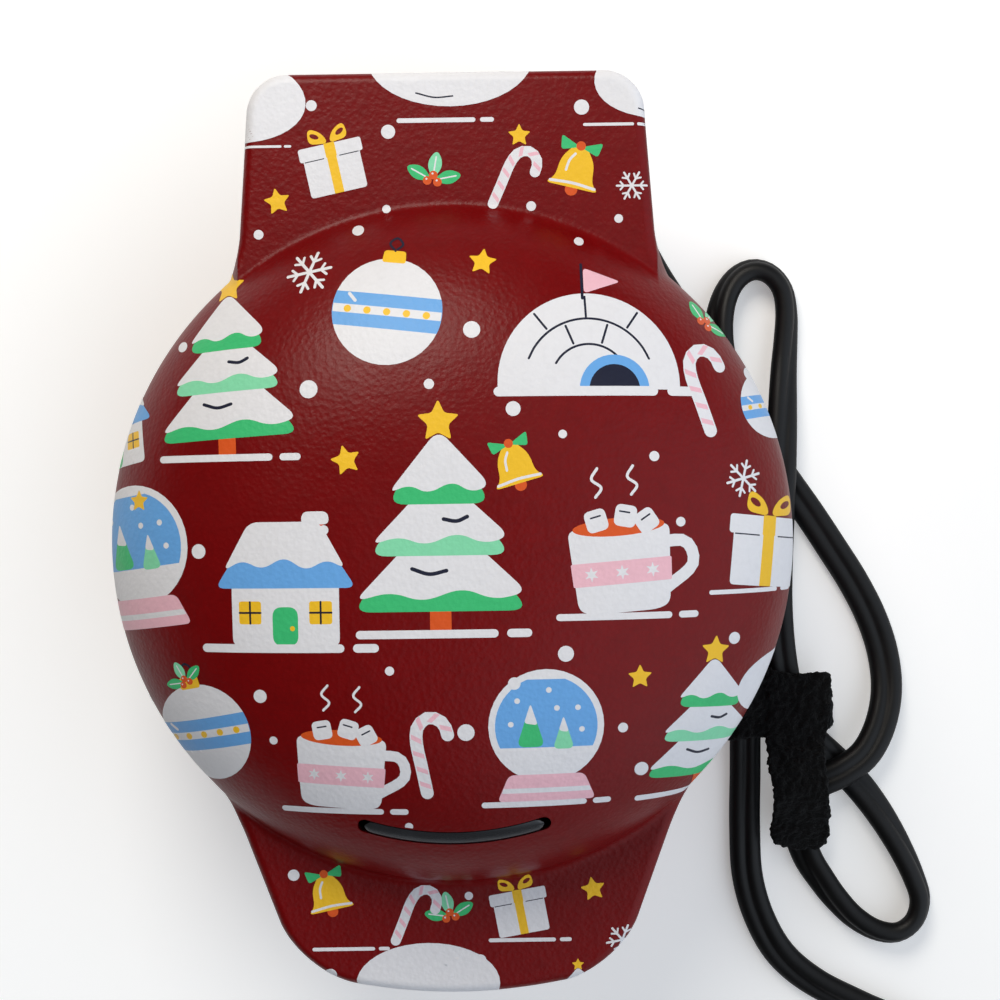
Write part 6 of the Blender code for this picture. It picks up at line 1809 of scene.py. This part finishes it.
class WAFFLE_OT_hardware(Operator):
    """Set the screws, the rubber feet and the hinge rod"""
    bl_idname = "waffle.hardware"
    bl_label = "Screws, feet and rod"

    def execute(self, context):
        finishes = palette()
        long_screw = screw_mesh(0.008, finishes.zinc)
        short_screw = screw_mesh(0.005, finishes.zinc)
        ears = [polar(EAR_CIRCLE, angle) for angle in EARS]
        upper_ears, lower_ears = ([(side * x, y) for x, y in ears] for side in (-1, 1))
        # Name, solid's name, screw, places, height of the head's face, whether it faces up, body
        sets = (
            ("housing_screw", "lid_screw", long_screw, LID_SCREWS, 0.0429, False, "lid"),
            ("bowl_screw", "base_screw", long_screw, BASE_SCREWS, 0.0261, False, "base"),
            ("lower_ear_screw", "lower_plate_screw", short_screw, lower_ears, 0.0339, False, "base"),
            ("upper_ear_screw", "upper_plate_screw", short_screw, upper_ears, 0.0501, True, "lid"),
        )
        for name, node, screw, places, face, up, body in sets:
            for number, place in enumerate(places, 1):
                set_screw(f"{name}_{number}", screw, place, face, up, f"{node}_{number}", body)
        for number, place in enumerate(FEET, 1):
            dress(foot(number, place, finishes.rubber), "base", "foot_rubber", f"foot_{number}")
        dress(rod(finishes.zinc), "base", "screw_steel", "hinge_rod")
        return {"FINISHED"}


# Pieces that keep their solids

class WAFFLE_OT_inside(Operator):
    """Give the decks, leads, thermostat, fuse, block and lamp their finishes"""
    bl_idname = "waffle.inside"
    bl_label = "Inner pieces"

    def execute(self, context):
        finishes = palette()
        kept = {
            "lid_deck": finishes.casing,
            "base_deck": finishes.casing,
            "thermostat": finishes.steel,
            "thermal_fuse": finishes.tin,
            "terminal_block": finishes.ceramic,
            "heater_lead_1": finishes.sleeve,
            "heater_lead_2": finishes.sleeve,
            "supply_lead_1": finishes.sleeve,
            "supply_lead_2": finishes.sleeve,
            "indicator_lamp": finishes.lamp,
            "lamp_holder": finishes.resin,
        }
        for node, material in kept.items():
            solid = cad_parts[node]
            for slot in solid.material_slots:
                slot.material = material
        return {"FINISHED"}


# Stage

# How much the camera sees the table glow, and where it fades to white, in metres from the middle
TABLE_GLOW = 0.29
FADE_START = 0.25
FADE_RUN = 0.35


def stage_floor(colour):
    """The pale table top, which shows near white to the camera and keeps the object's shadow."""
    finish = Finish("pale table", colour, 0.75, specular_ior_level=0.2)
    grain = finish.noise(0.004)
    finish.wear(base_color=finish.mix(grain, toned(colour, 0.99), toned(colour, 1.01)))
    glow = finish.node("ShaderNodeEmission", {}, {"Color": (1, 1, 1), "Strength": TABLE_GLOW})
    dark = finish.node("ShaderNodeEmission", {}, {"Color": (0, 0, 0), "Strength": 0.0})
    seen = finish.node("ShaderNodeLightPath", {}, {}, "Is Camera Ray")
    lift = finish.node("ShaderNodeMixShader", {}, {0: seen, 1: dark, 2: glow})
    both = finish.node("ShaderNodeAddShader", {}, {0: Value(finish, finish.shader.outputs[0]), 1: lift})
    white = finish.node("ShaderNodeEmission", {}, {"Color": (1, 1, 1), "Strength": 1.0})
    distance = finish.node("ShaderNodeVectorMath", {"operation": "LENGTH"}, {0: finish.places}, "Value")
    far = seen * ((distance - FADE_START) / FADE_RUN).clamped()
    faded = finish.node("ShaderNodeMixShader", {}, {0: far, 1: both, 2: white})
    finish.feed(finish.found("OUTPUT_MATERIAL"), {"Surface": faded})
    mesh = bpy.data.meshes.new("table_top")
    side = 1.6
    corners = [(-side, -side, 0), (side, -side, 0), (side, side, 0), (-side, side, 0)]
    mesh.from_pydata(corners, [], [(0, 1, 2, 3)])
    new_object("table_top", mesh, finish.material)


def stage_world():
    """A dim, warm surround with a bright, cool window side on the right; the camera sees it white all round."""
    world = bpy.data.worlds.new("pale surround")
    bpy.context.scene.world = world
    world.use_nodes = True
    nodes = Nodes(world.node_tree)
    dim = nodes.node("ShaderNodeBackground", {}, {"Color": (1.0, 0.96, 0.90), "Strength": 0.07})
    bright = nodes.node("ShaderNodeBackground", {}, {"Color": (0.82, 0.90, 1.0), "Strength": 1.25})
    direction = nodes.node("ShaderNodeTexCoord", {}, {})
    window = (0.78, -0.28, 0.56)
    towards = nodes.node("ShaderNodeVectorMath", {"operation": "DOT_PRODUCT"}, {0: direction, 1: window}, "Value")
    lit = ((towards - 0.50) / 0.30).clamped()
    lighting = nodes.node("ShaderNodeMixShader", {}, {0: lit, 1: dim, 2: bright})
    white = nodes.node("ShaderNodeBackground", {}, {"Color": (1, 1, 1), "Strength": 1.0})
    rays = [nodes.node("ShaderNodeLightPath", {}, {}, name) for name in ("Is Camera Ray", "Is Transmission Ray")]
    seen = rays[0].math("MAXIMUM", rays[0], rays[1])
    choice = nodes.node("ShaderNodeMixShader", {}, {0: seen, 1: lighting, 2: white})
    nodes.feed(nodes.found("OUTPUT_WORLD"), {"Surface": choice})


def soft_light(name, place, aim, size, power, colour):
    light = bpy.data.lights.new(name, "AREA")
    light.color = colour
    light.shape = "DISK"
    light.size = size
    light.energy = power
    lamp = bpy.data.objects.new(name, light)
    bpy.context.scene.collection.objects.link(lamp)
    lamp.location = place
    lamp.rotation_euler = (Vector(aim) - Vector(place)).to_track_quat("-Z", "Y").to_euler()


class WAFFLE_OT_stage(Operator):
    """Set the pale table, the surround, the soft lamp and the camera straight above"""
    bl_idname = "waffle.stage"
    bl_label = "Stage and camera"

    def execute(self, context):
        scene = context.scene
        scene.view_settings.view_transform = "Standard"
        stage_floor(tuple(scene.waffle_colours.floor))
        stage_world()
        power = scene.waffle_sizes.lamp_power
        soft_light("rear left lamp", (-0.12, 0.40, 0.48), (0, 0.02, 0.04), 0.34, power, (1.0, 0.95, 0.86))
        camera = bpy.data.objects.new("camera", bpy.data.cameras.new("camera"))
        scene.collection.objects.link(camera)
        camera.location = (0.009, 0.0075, 0.407)
        camera.rotation_euler = (0, 0, math.radians(-0.85))
        camera.data.angle = math.radians(29.6)
        camera.data.clip_start = 0.01
        scene.camera = camera
        return {"FINISHED"}


# Sidebar and run

OPERATORS = (
    WAFFLE_OT_stage,
    WAFFLE_OT_cord,
    WAFFLE_OT_casing,
    WAFFLE_OT_print,
    WAFFLE_OT_plates,
    WAFFLE_OT_hardware,
    WAFFLE_OT_inside,
)


class WAFFLE_PT_sidebar(Panel):
    """Sizes, colours and steps of the waffle maker"""
    bl_idname = "WAFFLE_PT_sidebar"
    bl_label = "Mini waffle maker"
    bl_space_type = "VIEW_3D"
    bl_region_type = "UI"
    bl_category = "Waffle maker"

    def draw(self, context):
        scene = context.scene
        for group in (scene.waffle_sizes, scene.waffle_colours):
            column = self.layout.column()
            for name in group.__annotations__:
                column.prop(group, name)
        for operator in OPERATORS:
            self.layout.operator(operator.bl_idname)


CLASSES = (WaffleSizes, WaffleColours) + OPERATORS + (WAFFLE_PT_sidebar,)


def register():
    for kind in CLASSES:
        bpy.utils.register_class(kind)
    bpy.types.Scene.waffle_sizes = PointerProperty(type=WaffleSizes)
    bpy.types.Scene.waffle_colours = PointerProperty(type=WaffleColours)


def unregister():
    del bpy.types.Scene.waffle_colours
    del bpy.types.Scene.waffle_sizes
    for kind in reversed(CLASSES):
        bpy.utils.unregister_class(kind)


def main():
    register()
    for step in ("stage", "cord", "casing", "print", "plates", "hardware", "inside"):
        getattr(bpy.ops.waffle, step)()


if __name__ == "__main__":
    main()
